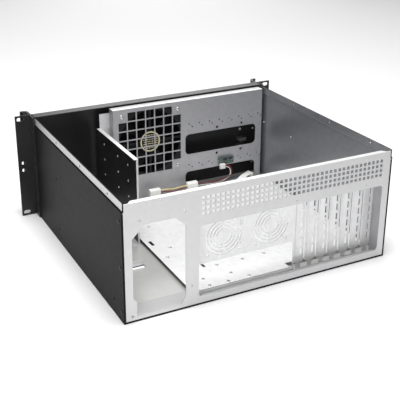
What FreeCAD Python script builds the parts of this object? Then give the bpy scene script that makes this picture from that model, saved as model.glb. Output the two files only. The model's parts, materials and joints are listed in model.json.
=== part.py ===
import FreeCAD, Part
import Sketcher
import math
import os

# Empty 4U rackmount server case, open at the top (no lid fitted).
# Sizes in mm. X right as seen from the front, Y towards the rear, Z up.
# Inside every sub-part y = 0 is the rear face of the rack ears and z = 0 the underside.

SIZES = [
    # overall and sheet
    ("case_w", 430.0), ("case_h", 175.5), ("case_d", 388.0),
    ("skin", 1.5), ("plate", 1.2), ("over", 1.0),
    # front panel, ears and handles
    ("panel_h", 177.0), ("panel_w", 482.6), ("panel_t", 2.0), ("ear_t", 2.2),
    ("ear_leg_d", 19.0), ("front_flange_d", 16.0), ("front_flange_x", 213.0),
    ("inner_flange_d", 15.0), ("ear_hole_x", 232.55), ("ear_hole_z", 82.55),
    ("ear_slot_w", 12.0), ("ear_slot_h", 6.5), ("ear_slot_flat", 0.03), ("ear_mid_z", 6.35),
    ("ear_mid_r", 3.2),
    ("handle_reach", 25.0), ("handle_t", 3.0), ("handle_stem", 9.0), ("handle_bow", 2.1),
    ("handle_curl", 4.8), ("handle_nose", 8.4), ("handle_ease", 0.6), ("handle_base_x", 203.0),
    ("handle_web_x", 216.0),
    ("handle_end_x", 226.0), ("handle_margin", 1.0), ("handle_screw_x", 208.0),
    ("handle_screw_r", 1.8), ("handle_screw_z", 68.0), ("handle_screw_depth", 2.0),
    ("pan_r", 3.4), ("pan_h", 2.0), ("flat_r", 3.06),
    ("ear_screw_y", 10.0), ("ear_screw_z", 60.0), ("ear_screw_r", 1.5), ("flat_h", 1.0),
    # shell
    ("joggle_z", 163.0), ("joggle_in", 1.8), ("joggle_ease", 0.62),
    ("lid_hole_y", 20.0), ("lid_hole_gap", 106.0), ("lid_hole_z", 169.5), ("lid_hole_r", 1.75),
    ("rail_r", 2.0), ("rail_low_z", 22.5), ("rail_high_z", 108.5), ("rail_mid_y", 121.0),
    ("rail_rear_y", 355.0), ("rail_front_y", 30.0), ("tab_x", 137.5), ("tab_w", 19.0),
    ("tab_y", 250.0), ("tab_h", 8.0),
    ("tab_hole_d", 8.0), ("tab_hole_w", 21.0), ("floor_hole_x", 112.0), ("floor_hole_y", 184.0),
    ("floor_hole_r", 2.5), ("rivet_r", 1.6), ("rivet_head_r", 3.0), ("rivet_head_h", 1.0),
    ("rivet_y", 380.0), ("rivet_z", 14.0), ("rivet_gap", 67.0),
    # rear panel
    ("back_top", 173.3), ("notch_z", 160.0), ("notch_in", 2.4), ("side_flange_d", 16.0),
    ("side_flange_z", 157.0), ("top_flange_d", 15.5), ("top_flange_x", 205.0),
    ("top_flange_cut", 6.0), ("foot_flange_d", 38.0), ("foot_x0", 108.0), ("foot_x1", 200.0),
    ("win_x0", -201.5), ("win_x1", 104.3), ("win_z0", 12.8), ("win_z1", 120.5), ("win_r", 5.0),
    ("win_lip_d", 5.0), ("psu_x0", 124.0), ("psu_x1", 201.0), ("psu_z0", 8.0), ("psu_z1", 140.0),
    ("psu_cut_a", 18.0), ("psu_cut_b", 15.0), ("psu_cut_c", 14.0), ("psu_step", 5.0),
    ("psu_step_z", 30.0), ("psu_corner", 7.0), ("psu_chamfer", 12.0), ("psu_lip_d", 8.0),
    ("psu_lip_x0", 128.0),
    ("psu_lip_x1", 194.0), ("psu_hole_r", 1.9), ("psu_hole_a", 190.0), ("psu_hole_b", 126.0),
    ("psu_hole_top", 147.0), ("psu_hole_c", 116.0), ("psu_hole_mid", 33.0),
    ("psu_hole_d", 202.5), ("psu_hole_low", 9.0), ("mark_r", 1.2), ("mark_a", 180.0),
    ("mark_gap", 20.0), ("mark_top", 170.0), ("mark_b", -50.0), ("mark_c", -170.0),
    ("mark_mid", 127.0),
    ("vent_side", 4.9), ("vent_gap_x", 7.53), ("vent_gap_z", 7.4), ("vent_cols", 40),
    ("vent_x", -195.77), ("vent_z", 138.0),
    # recessed panel behind the window
    ("recess", 19.0), ("io_x0", -203.5), ("io_x1", 106.0), ("io_top", 122.7),
    ("port_x0", -60.0), ("port_x1", 98.7), ("port_z0", 7.0), ("port_z1", 51.5),
    ("bay_x0", -202.3), ("bay_x1", -61.5), ("bay_z0", 4.5), ("bay_z1", 112.0),
    ("grille_a", 56.3), ("grille_b", -20.5), ("grille_z", 87.0), ("ring_r", 28.5),
    ("ring_w", 2.6), ("ring_gap", 5.2), ("spoke_w", 3.0), ("grille_hole", 25.0),
    ("grille_hole_r", 2.0), ("spot_x", 30.5), ("spot_z", 71.5), ("spot_r", 2.0),
    ("slit_w", 1.8), ("slit_h", 7.0), ("slit_z", 103.0), ("slit_gap", 3.2),
    # slot covers
    ("slot_x", -71.1), ("slot_gap", 20.32), ("cover_w", 18.4), ("cover_t", 1.0),
    ("cover_z0", 13.0), ("tongue_w", 8.0), ("tongue_z", 3.0), ("cover_tab_d", 13.0),
    ("dash_w", 3.0), ("dash_h", 11.0), ("dash_z", 31.0), ("dash_gap", 14.85), ("dash_off", 4.0),
    ("cover_screw_d", 6.0), ("cover_screw_r", 1.4),
    # motherboard tray
    ("tray_x0", -205.0), ("tray_x1", 103.0), ("tray_y0", 40.0), ("tray_y1", 366.0),
    ("tray_step_x", -58.0), ("tray_step_y", 352.0), ("tray_top", 8.0), ("nut_r", 2.6),
    ("nut_hole_r", 1.5), ("nut_h", 0.8), ("leg_inset", 7.0), ("tray_slot_x", 54.5),
    ("tray_slot_y", 304.0), ("tray_slot_w", 4.0), ("tray_slot_l", 10.0), ("tray_cut_x", 94.0),
    ("tray_cut_y", 205.0), ("tray_cut_w", 5.0), ("tray_cut_l", 15.0),
    # fan wall
    ("wall_y", 31.0), ("wall_x0", -208.0), ("wall_x1", 84.0), ("wall_top", 173.0),
    ("wall_flange_d", 17.6), ("wing_x", 102.0), ("wing_z", 165.0), ("grid_pitch", 17.0),
    ("grid_hole", 15.0), ("port_w", 144.0), ("port_h", 38.0), ("port_r", 8.0),
    ("port_x", -123.5), ("upper_port_z", 90.0), ("lower_port_z", 21.5),
    ("lower_port_h", 33.0), ("pin_r", 1.3),
    ("pin_gap", 20.1), ("pin_x", -59.0), ("pin_shift", 6.0), ("pin_top_z", 128.0),
    ("pin_low_z", 51.0), ("pin_drop", 4.8), ("post_r", 2.5), ("post_x", -115.0),
    ("post_gap", 50.3), ("post_top_z", 114.3), ("post_low_z", 64.5),
    # fan
    ("fan_x", 16.0), ("fan_z", 107.5), ("fan_side", 120.0), ("fan_d", 25.4), ("duct_r", 57.5),
    ("fan_hole", 52.5), ("fan_hole_r", 2.0), ("hub_r", 19.5), ("strut_w", 4.0),
    ("motor_t", 3.0), ("rotor_r", 52.0), ("rotor_d", 17.0), ("rotor_gap", 1.5),
    ("blade_t", 1.6), ("blade_root", 6.0), ("blade_tip", 9.0), ("blade_rise", 5.5),
    ("blades", 7), ("axle_r", 2.0), ("axle_play", 0.05), ("cup_t", 1.6), ("axle_l", 10.0),
    ("rotor_mid", 15.5), ("fan_hole_l", 10.0), ("badge_r", 18.5), ("badge_w", 2.5), ("badge_t", 0.5),
    # drive bracket
    ("rack_x", 106.0), ("rack_y0", 16.0), ("rack_y1", 188.0), ("rack_top", 146.0),
    ("rack_cut", 14.0), ("rack_flange", 7.0), ("rack_rear", 3.2), ("rack_foot", 13.0),
    ("rack_end", 20.0), ("rack_step", 66.0), ("rack_rivet_x", 7.8),
    ("drive_r", 1.75), ("drive_z", 42.0), ("drive_gap", 27.0), ("drive_y", 47.2),
    ("drive_mid", 60.0), ("drive_far", 101.6),
    # small electrical parts
    ("board_x0", -148.0), ("board_x1", -118.0), ("board_z0", 41.5), ("board_z1", 55.0),
    ("board_t", 1.6), ("stand_h", 3.0), ("stand_r", 1.8), ("header_w", 10.0), ("header_h", 9.0),
    ("header_d", 6.0), ("header_lap", 2.5), ("plug_w", 18.5), ("plug_h", 9.0), ("plug_d", 20.0),
    ("plug_wall", 1.2), ("plug_mouth", 8.0), ("plug_a_x", 19.0), ("plug_b_x", -54.0), ("plug_y", 52.0),
    ("ribbon_w", 12.0), ("ribbon_t", 1.0), ("ribbon_x0", -138.0), ("ribbon_x1", -188.0),
    ("ribbon_y0", 56.0), ("ribbon_y1", 26.0), ("ribbon_rest", 0.2), ("clamp_w", 15.0),
    ("clamp_d", 6.0), ("clamp_t", 5.0), ("plug_seam", 1.0), ("seam_depth", 0.8),
    # front controls
    ("filter_t", 3.0), ("filter_side", 116.0), ("vent_bars", 11), ("vent_bar_w", 104.0),
    ("vent_bar_h", 4.0), ("vent_bar_gap", 9.0), ("control_x", -180.0),
    ("power_z", 140.0), ("power_r", 8.0), ("reset_z", 118.0), ("reset_r", 3.5),
    ("button_play", 0.3), ("button_proud", 2.0), ("button_collar", 1.5), ("button_travel", 1.5),
    ("collar_t", 1.0), ("button_gap", 0.3), ("switch_side", 12.0), ("switch_d", 8.0), ("lamp_r", 1.6),
    ("lamp_z", 100.0), ("lamp_gap", 9.0), ("lamp_proud", 0.6), ("lamp_flange", 2.4),
    ("usb_w", 13.4), ("usb_h", 6.0), ("usb_d", 14.0), ("usb_z", 74.0), ("usb_gap", 14.0),
    ("usb_shell", 0.5),
]

doc = FreeCAD.newDocument("server_case")
dims = doc.addObject("Spreadsheet::Sheet", "dims")


def fill_sheet():
    for row, (alias, value) in enumerate(SIZES, 1):
        dims.set("A%d" % row, alias)
        dims.set("B%d" % row, str(value))
        dims.setAlias("B%d" % row, alias)
    row = len(SIZES) + 1
    dims.set("A%d" % row, "datum_y")
    dims.set("B%d" % row, "=-(case_d - panel_t - handle_reach) / 2")
    dims.setAlias("B%d" % row, "datum_y")
    doc.recompute()


def link(text):
    return text.replace("$", "dims.")


def number(text):
    return float(dims.evalExpression(link(text)))


# ---------- sketch outlines: every corner is tied to the sheet ----------
def rect(u0, u1, v0, v1):
    return ("line", [(u0, v0), (u1, v0), (u1, v1), (u0, v1)])


def box_at(u, v, width, height):
    left = "%s - (%s) / 2" % (u, width)
    right = "%s + (%s) / 2" % (u, width)
    return rect(left, right, "%s - (%s) / 2" % (v, height), "%s + (%s) / 2" % (v, height))


def outline(points):
    return ("line", points)


def circle(u, v, radius):
    return ("circle", (u, v, radius))


def rounded(u0, u1, v0, v1, radius):
    return ("rounded", (u0, u1, v0, v1, radius))


def line_rules(sketch, points, rules, ties):
    first = sketch.GeometryCount
    spots = [FreeCAD.Vector(number(u), number(v), 0) for u, v in points]
    total = len(spots)
    sketch.addGeometry([Part.LineSegment(spots[i], spots[(i + 1) % total]) for i in range(total)])
    for i in range(total):
        rules.append(Sketcher.Constraint("Coincident", first + i, 2, first + (i + 1) % total, 1))
        ties.append((len(rules), points[i][0]))
        rules.append(Sketcher.Constraint("DistanceX", -1, 1, first + i, 1, spots[i].x))
        ties.append((len(rules), points[i][1]))
        rules.append(Sketcher.Constraint("DistanceY", -1, 1, first + i, 1, spots[i].y))


def circle_rules(sketch, spec, rules, ties):
    u, v, radius = spec
    centre = FreeCAD.Vector(number(u), number(v), 0)
    index = sketch.addGeometry(Part.Circle(centre, FreeCAD.Vector(0, 0, 1), number(radius)))
    ties.append((len(rules), radius))
    rules.append(Sketcher.Constraint("Radius", index, number(radius)))
    ties.append((len(rules), u))
    rules.append(Sketcher.Constraint("DistanceX", -1, 1, index, 3, centre.x))
    ties.append((len(rules), v))
    rules.append(Sketcher.Constraint("DistanceY", -1, 1, index, 3, centre.y))


def rounded_rules(sketch, spec, rules, ties):
    u0, u1, v0, v1, radius = spec
    left, right, low, high, r = [number(text) for text in spec]
    first = sketch.GeometryCount
    up = FreeCAD.Vector(0, 0, 1)
    corners = [(right - r, low + r, -90), (right - r, high - r, 0),
               (left + r, high - r, 90), (left + r, low + r, 180)]
    ends = [((left + r, low), (right - r, low)), ((right, low + r), (right, high - r)),
            ((right - r, high), (left + r, high)), ((left, high - r), (left, low + r))]
    for i in range(4):
        start, stop = [FreeCAD.Vector(x, y, 0) for x, y in ends[i]]
        sketch.addGeometry(Part.LineSegment(start, stop))
        x, y, turn = corners[i]
        bow = Part.Circle(FreeCAD.Vector(x, y, 0), up, r)
        sketch.addGeometry(Part.ArcOfCircle(bow, math.radians(turn), math.radians(turn + 90)))
    for i in range(4):
        edge = first + 2 * i
        after = first + (2 * i + 2) % 8
        rules.append(Sketcher.Constraint("Tangent", edge, 2, edge + 1, 1))
        rules.append(Sketcher.Constraint("Tangent", edge + 1, 2, after, 1))
        ties.append((len(rules), radius))
        rules.append(Sketcher.Constraint("Radius", edge + 1, r))
    for edge, kind, text in ((0, "DistanceY", v0), (2, "DistanceX", u1),
                             (4, "DistanceY", v1), (6, "DistanceX", u0)):
        straight = "Horizontal" if kind == "DistanceY" else "Vertical"
        rules.append(Sketcher.Constraint(straight, first + edge))
        ties.append((len(rules), text))
        rules.append(Sketcher.Constraint(kind, -1, 1, first + edge, 1, number(text)))


DRAW = {"line": line_rules, "circle": circle_rules, "rounded": rounded_rules}
SIGN = {"XY_Plane": "", "YZ_Plane": "", "XZ_Plane": "-"}


def origin_plane(body, role):
    for feature in body.Origin.OriginFeatures:
        if feature.Role == role:
            return feature
    return None


def draw(body, name, role, level, shapes):
    sketch = body.newObject("Sketcher::SketchObject", name)
    sketch.AttachmentSupport = [(origin_plane(body, role), "")]
    sketch.MapMode = "FlatFace"
    sketch.setExpression("AttachmentOffset.Base.z", link("%s(%s)" % (SIGN[role], level)))
    rules = []
    ties = []
    for kind, spec in shapes:
        DRAW[kind](sketch, spec, rules, ties)
    sketch.addConstraint(rules)
    for index, text in ties:
        sketch.setExpression("Constraints[%d]" % index, link(text))
    return sketch


# ---------- bodies, pads, pockets and patterns ----------
def new_body(name, shift_x="0", shift_z="0"):
    body = doc.addObject("PartDesign::Body", name)
    body.Label = name
    body.setExpression("Placement.Base.x", link(shift_x))
    body.setExpression("Placement.Base.y", link("$datum_y"))
    body.setExpression("Placement.Base.z", link(shift_z))
    return body


def slab(kind, body, name, role, low, high, shapes):
    sketch = draw(body, name + "_outline", role, "((%s) + (%s)) / 2" % (low, high), shapes)
    feature = body.newObject("PartDesign::" + kind, name)
    feature.Profile = sketch
    feature.SideType = "Symmetric"
    feature.setExpression("Length", link("(%s) - (%s)" % (high, low)))
    sketch.Visibility = False
    return feature


def pad(body, name, role, low, high, shapes):
    return slab("Pad", body, name, role, low, high, shapes)


def cut(body, name, role, low, high, shapes):
    return slab("Pocket", body, name, role, low, high, shapes)


def row(body, name, feature, axis, spacing, count):
    pattern = body.newObject("PartDesign::LinearPattern", name)
    pattern.Originals = [feature]
    pattern.Direction = (feature.Profile[0], [axis])
    pattern.Mode = "Spacing"
    pattern.setExpression("Offset", link(spacing))
    pattern.setExpression("Occurrences", link(count))
    body.Tip = pattern
    return pattern


# ---------- chassis shell ----------
def shell_profile():
    right = [("$case_w / 2", "0"), ("$case_w / 2", "$joggle_z"),
             ("$case_w / 2 - $joggle_in", "$joggle_z + $joggle_in"),
             ("$case_w / 2 - $joggle_in", "$case_h"),
             ("$case_w / 2 - $joggle_in - $skin", "$case_h"),
             ("$case_w / 2 - $joggle_in - $skin", "$joggle_z + $joggle_in - $joggle_ease"),
             ("$case_w / 2 - $skin", "$joggle_z - $joggle_ease"), ("$case_w / 2 - $skin", "$skin")]
    left = [("-(%s)" % u, v) for u, v in reversed(right)]
    return outline(right + left)


def side_holes():
    holes = []
    for k in range(4):
        holes.append(circle("$lid_hole_y + %d * $lid_hole_gap" % k, "$lid_hole_z", "$lid_hole_r"))
    for y, z in (("$rail_mid_y", "$rail_high_z"), ("$rail_mid_y", "$rail_low_z"),
                 ("$rail_rear_y", "$rail_low_z"), ("$rail_front_y", "$rail_high_z")):
        holes.append(circle(y, z, "$rail_r"))
    for k in range(3):
        holes.append(circle("$rivet_y", "$rivet_z + %d * $rivet_gap" % k, "$rivet_r"))
    for k in (-1, 0, 1):
        holes.append(circle("$ear_screw_y", "$panel_h / 2 + %d * $ear_screw_z" % k, "$ear_screw_r"))
    return holes


def chassis_shell():
    body = new_body("chassis_shell")
    pad(body, "shell_fold", "XZ_Plane", "0", "$case_d", [shell_profile()])
    cut(body, "shell_side_holes", "YZ_Plane", "-$case_w / 2 - $over", "$case_w / 2 + $over",
        side_holes())
    tab_hole = rect("$tab_x - $tab_hole_w / 2", "$tab_x + $tab_hole_w / 2",
                    "$tab_y + $skin / 2", "$tab_y + $skin / 2 + $tab_hole_d")
    spot = circle("$floor_hole_x", "$floor_hole_y", "$floor_hole_r")
    cut(body, "shell_floor_holes", "XY_Plane", "-$over", "$skin + $over", [tab_hole, spot])
    pad(body, "psu_stop_tab", "XY_Plane", "0", "$skin + $tab_h",
        [box_at("$tab_x", "$tab_y", "$tab_w", "$skin")])
    cut(body, "bracket_rivet_holes", "XY_Plane", "-$over", "$skin + $over", bracket_rivet_marks())


# ---------- rear panel ----------
def rear_outline():
    right = [("$case_w / 2 - $skin", "$skin"), ("$case_w / 2 - $skin", "$notch_z"),
             ("$case_w / 2 - $skin - $notch_in", "$notch_z + $notch_in"),
             ("$case_w / 2 - $skin - $notch_in", "$back_top")]
    left = [("-(%s)" % u, v) for u, v in reversed(right)]
    return outline(right + left)


def psu_outline():
    return outline([("$psu_x1 - $psu_step", "$psu_z0"), ("$psu_x1 - $psu_step", "$psu_step_z"),
                    ("$psu_x1", "$psu_step_z + $psu_step"), ("$psu_x1", "$psu_z1 - $psu_cut_a"),
                    ("$psu_x1 - $psu_cut_a", "$psu_z1"), ("$psu_x0 + $psu_cut_b", "$psu_z1"),
                    ("$psu_x0", "$psu_z1 - $psu_cut_c"), ("$psu_x0", "$psu_z0 + $psu_chamfer"),
                    ("$psu_x0 + $psu_corner", "$psu_z0")])


def rear_panel():
    body = new_body("rear_panel")
    front = "$case_d - $plate"
    pad(body, "rear_face", "XZ_Plane", front, "$case_d", [rear_outline()])
    cut(body, "rear_window", "XZ_Plane", front + " - $over", "$case_d + $over",
        [rounded("$win_x0", "$win_x1", "$win_z0", "$win_z1", "$win_r"), psu_outline()])
    column = []
    for k in range(4):
        column.append(box_at("$vent_x", "$vent_z + %d * $vent_gap_z" % k, "$vent_side", "$vent_side"))
    first = cut(body, "vent_column", "XZ_Plane", front + " - $over", "$case_d + $over", column)
    row(body, "vent_field", first, "H_Axis", "$vent_gap_x", "$vent_cols")
    marks = [circle("$psu_hole_a", "$psu_hole_top", "$psu_hole_r"),
             circle("$psu_hole_b", "$psu_hole_top", "$psu_hole_r"),
             circle("$psu_hole_c", "$psu_hole_mid", "$psu_hole_r"),
             circle("$psu_hole_d", "$psu_hole_low", "$psu_hole_r"),
             circle("$mark_a", "$mark_top", "$mark_r"),
             circle("$mark_a - $mark_gap", "$mark_top", "$mark_r"),
             circle("$mark_b", "$mark_mid", "$mark_r"), circle("$mark_c", "$mark_mid", "$mark_r")]
    cut(body, "rear_screw_holes", "XZ_Plane", front + " - $over", "$case_d + $over", marks)
    wide = "$top_flange_x"
    slim = "$top_flange_x - $top_flange_cut"
    pad(body, "top_flange", "XY_Plane", "$back_top - $plate", "$back_top",
        [outline([("-(%s)" % wide, front), (wide, front), (slim, "$case_d - $top_flange_d"),
                  ("-(%s)" % slim, "$case_d - $top_flange_d")])])
    for name, lo, hi in (("flange_right", "$case_w / 2 - $skin - $plate", "$case_w / 2 - $skin"),
                         ("flange_left", "$skin - $case_w / 2", "$skin + $plate - $case_w / 2")):
        pad(body, name, "XY_Plane", "$skin", "$side_flange_z",
            [rect(lo, hi, "$case_d - $side_flange_d", front)])
    pad(body, "foot_flange", "XY_Plane", "$skin", "$skin + $plate",
        [rect("$foot_x0", "$foot_x1", "$case_d - $foot_flange_d", front)])
    pad(body, "window_lip", "XY_Plane", "$win_z0 - $plate", "$win_z0",
        [rect("$win_x0 + $win_r", "$win_x1 - $win_r", "$case_d - $win_lip_d", front)])
    pad(body, "psu_lip", "XY_Plane", "$psu_z0 - $plate", "$psu_z0",
        [rect("$psu_lip_x0 + $psu_corner", "$psu_lip_x1", "$case_d - $psu_lip_d", front)])
    holes = [circle("$rivet_y", "$rivet_z + %d * $rivet_gap" % k, "$rivet_r") for k in range(3)]
    cut(body, "flange_rivet_holes", "YZ_Plane", "-$case_w / 2", "$case_w / 2", holes)


# ---------- recessed panel with the expansion slots ----------
def ring_shapes(x):
    rings = []
    for k in range(4):
        rings.append(circle(x, "$grille_z", "$ring_r - %d * $ring_gap" % k))
        rings.append(circle(x, "$grille_z", "$ring_r - %d * $ring_gap - $ring_w" % k))
    return rings


def grille_marks(x):
    marks = []
    for side in ("-", "+"):
        for rise in ("-", "+"):
            marks.append(circle("%s %s $grille_hole" % (x, side), "$grille_z %s $grille_hole" % rise,
                                "$grille_hole_r"))
    return marks


def rear_io_panel():
    body = new_body("rear_io_panel")
    back = "$case_d - $recess"
    front = "$case_d - $recess - $plate"
    meet = "$case_d - $plate"
    pad(body, "io_face", "XZ_Plane", front, back, [rect("$io_x0", "$io_x1", "$skin", "$io_top")])
    cut(body, "io_openings", "XZ_Plane", front + " - $over", back + " + $over",
        [rect("$port_x0", "$port_x1", "$port_z0", "$port_z1"),
         rect("$bay_x0", "$bay_x1", "$bay_z0", "$bay_z1")])
    for tag, x in (("a", "$grille_a"), ("b", "$grille_b")):
        cut(body, "grille_rings_" + tag, "XZ_Plane", front + " - $over", back + " + $over",
            ring_shapes(x))
        pad(body, "grille_spokes_" + tag, "XZ_Plane", front, back,
            [box_at(x, "$grille_z", "$spoke_w", "2 * $ring_r + $over")])
        pad(body, "grille_bars_" + tag, "XZ_Plane", front, back,
            [box_at(x, "$grille_z", "2 * $ring_r + $over", "$spoke_w")])
        cut(body, "grille_holes_" + tag, "XZ_Plane", front + " - $over", back + " + $over",
            grille_marks(x))
    cut(body, "io_marks", "XZ_Plane", front + " - $over", back + " + $over",
        [circle("$spot_x", "$spot_z", "$spot_r"),
         box_at("$spot_x", "$slit_z", "$slit_w", "$slit_h"),
         box_at("$spot_x - $slit_gap", "$slit_z - $slit_w", "$slit_w", "$slit_h")])
    pad(body, "slot_ledge", "XY_Plane", "$io_top - $plate", "$io_top",
        [rect("$io_x0", "$io_x1", back, meet)])
    pad(body, "recess_side_left", "XY_Plane", "$skin", "$io_top",
        [rect("$io_x0", "$io_x0 + $plate", back, meet)])
    pad(body, "recess_side_right", "XY_Plane", "$skin", "$io_top",
        [rect("$io_x1 - $plate", "$io_x1", back, meet)])
    screw_holes = []
    for k in range(7):
        screw_holes.append(circle(cover_x(k), back + " + $cover_screw_d", "$cover_screw_r"))
    cut(body, "ledge_holes", "XY_Plane", "$io_top - $plate - $over", "$io_top + $over", screw_holes)


def cover_x(k):
    return "$slot_x - %d * $slot_gap" % k


def slot_cover(k):
    name = "slot_cover_%d" % (k + 1)
    body = new_body(name, cover_x(k))
    back = "$case_d - $recess - $plate"
    front = back + " - $cover_t"
    half = "$cover_w / 2"
    top = "$io_top + $cover_t"
    pad(body, name + "_blank", "XZ_Plane", front, back,
        [outline([("-$tongue_w / 2", "$tongue_z"), ("$tongue_w / 2", "$tongue_z"),
                  ("$tongue_w / 2", "$cover_z0"), (half, "$cover_z0 + $plate"), (half, top),
                  ("-$cover_w / 2", top), ("-$cover_w / 2", "$cover_z0 + $plate"),
                  ("-$tongue_w / 2", "$cover_z0")])])
    pad(body, name + "_tab", "XY_Plane", "$io_top", top,
        [rect("-$cover_w / 2", half, back, back + " + $cover_tab_d")])
    cut(body, name + "_hole", "XY_Plane", "$io_top - $over", top + " + $over",
        [circle("0", back + " + $plate + $cover_screw_d", "$cover_screw_r")])
    dash = cut(body, name + "_dash", "XZ_Plane", front + " - $over", back + " + $over",
               [box_at("-$dash_off", "$dash_z", "$dash_w", "$dash_h")])
    row(body, name + "_dashes", dash, "V_Axis", "$dash_gap", "6")


# ---------- motherboard tray ----------
# X and Y of the threaded inserts for the motherboard's standoffs and the cable clips.
NUTS = [(73, 360.5), (43, 361), (8.5, 360.5), (28, 342), (36, 312.5), (-8, 312.5),
        (-46, 312), (73, 340), (74, 231), (91, 258), (-46, 231), (-120, 231), (-120, 312),
        (-46, 150), (74, 150), (-120, 150)]


def motherboard_tray():
    body = new_body("motherboard_tray")
    low = "$tray_top - $plate"
    pad(body, "tray_face", "XY_Plane", low, "$tray_top",
        [outline([("$tray_x0", "$tray_y0"), ("$tray_x1", "$tray_y0"), ("$tray_x1", "$tray_y1"),
                  ("$tray_step_x", "$tray_y1"), ("$tray_step_x", "$tray_step_y"),
                  ("$tray_x0", "$tray_step_y")])])
    legs = (("leg_right", "$tray_x1 - $leg_inset - $plate", "$tray_x1 - $leg_inset",
             "$tray_y0", "$tray_y1"),
            ("leg_left", "$tray_x0", "$tray_x0 + $plate", "$tray_y0", "$tray_step_y"),
            ("leg_front", "$tray_x0", "$tray_x1 - $leg_inset", "$tray_y0", "$tray_y0 + $plate"),
            ("leg_back", "$tray_step_x", "$tray_x1 - $leg_inset", "$tray_y1 - $plate",
             "$tray_y1"))
    for name, x0, x1, y0, y1 in legs:
        pad(body, name, "XY_Plane", "$skin", low, [rect(x0, x1, y0, y1)])
    holes = [circle(str(x), str(y), "$nut_hole_r") for x, y in NUTS]
    holes.append(box_at("$tray_slot_x", "$tray_slot_y", "$tray_slot_w", "$tray_slot_l"))
    holes.append(box_at("$tray_cut_x", "$tray_cut_y", "$tray_cut_w", "$tray_cut_l"))
    cut(body, "tray_holes", "XY_Plane", low + " - $over", "$tray_top + $over", holes)


def tray_press_nuts():
    body = new_body("tray_press_nuts")
    rings = []
    for x, y in NUTS:
        rings.append(circle(str(x), str(y), "$nut_r"))
        rings.append(circle(str(x), str(y), "$nut_hole_r"))
    pad(body, "press_nut_rings", "XY_Plane", "$tray_top", "$tray_top + $nut_h", rings)


# ---------- front panel, ears, handles ----------
def control_holes():
    shapes = [circle("$control_x", "$power_z", "$power_r + $button_play"),
              circle("$control_x", "$reset_z", "$reset_r + $button_play"),
              circle("$control_x", "$lamp_z", "$lamp_r"),
              circle("$control_x", "$lamp_z - $lamp_gap", "$lamp_r"),
              box_at("$control_x", "$usb_z", "$usb_w", "$usb_h"),
              box_at("$control_x", "$usb_z - $usb_gap", "$usb_w", "$usb_h")]
    return shapes


def front_panel():
    body = new_body("front_panel")
    pad(body, "panel_face", "XZ_Plane", "-$panel_t", "0",
        [rect("-$case_w / 2", "$case_w / 2", "0", "$panel_h")])
    pad(body, "panel_top_flange", "XY_Plane", "$case_h", "$panel_h",
        [rect("-$front_flange_x", "$front_flange_x", "0", "$front_flange_d")])
    sides = (("panel_flange_right", "$case_w / 2 - $skin - $plate", "$case_w / 2 - $skin"),
             ("panel_flange_left", "$skin - $case_w / 2", "$skin + $plate - $case_w / 2"))
    for name, x0, x1 in sides:
        pad(body, name, "XY_Plane", "$skin", "$side_flange_z",
            [rect(x0, x1, "0", "$inner_flange_d")])
    bar = cut(body, "front_vent_bar", "XZ_Plane", "-$panel_t - $over", "$over",
              [box_at("$fan_x", "$fan_z - ($vent_bars - 1) / 2 * $vent_bar_gap", "$vent_bar_w",
                      "$vent_bar_h")])
    row(body, "front_vent", bar, "V_Axis", "$vent_bar_gap", "$vent_bars")
    cut(body, "front_control_holes", "XZ_Plane", "-$panel_t - $over", "$over", control_holes())
    screws = [circle("%s$handle_screw_x" % sign, "$panel_h / 2 + %d * $handle_screw_z" % k,
                     "$handle_screw_r") for sign in ("", "-") for k in (-1, 0, 1)]
    cut(body, "front_handle_holes", "XZ_Plane", "-$panel_t - $over", "$over", screws)
    cut(body, "front_side_holes", "YZ_Plane", "-$case_w / 2", "$case_w / 2", ear_screw_marks())


def fan_filter():
    body = new_body("fan_filter")
    pad(body, "filter_foam", "XZ_Plane", "0", "$filter_t",
        [box_at("$fan_x", "$fan_z", "$filter_side", "$filter_side")])


def ear_screw_marks():
    return [circle("$ear_screw_y", "$panel_h / 2 + %d * $ear_screw_z" % k, "$ear_screw_r")
            for k in (-1, 0, 1)]


def rack_ear(name, sign):
    body = new_body(name)
    near = "%s$case_w / 2" % sign
    far = "%s($case_w / 2 + $ear_t)" % sign
    tip = "%s$panel_w / 2" % sign
    pad(body, name + "_angle", "XY_Plane", "0", "$panel_h",
        [outline([(near, "-$panel_t"), (tip, "-$panel_t"), (tip, "0"), (far, "0"),
                  (far, "$ear_leg_d"), (near, "$ear_leg_d")])])
    marks = []
    for side in ("-", "+"):
        marks.append(rounded("%s$ear_hole_x - $ear_slot_w / 2" % sign,
                             "%s$ear_hole_x + $ear_slot_w / 2" % sign,
                             "$panel_h / 2 %s $ear_hole_z - $ear_slot_h / 2" % side,
                             "$panel_h / 2 %s $ear_hole_z + $ear_slot_h / 2" % side,
                             "$ear_slot_h / 2 - $ear_slot_flat"))
        marks.append(circle("%s$ear_hole_x" % sign, "$panel_h / 2 %s $ear_mid_z" % side,
                            "$ear_mid_r"))
    cut(body, name + "_rack_holes", "XZ_Plane", "-$panel_t - $over", "$over", marks)
    cut(body, name + "_screw_holes", "YZ_Plane", "%s($case_w / 2 + $ear_t / 2) - $ear_t" % sign,
        "%s($case_w / 2 + $ear_t / 2) + $ear_t" % sign, ear_screw_marks())


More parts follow.
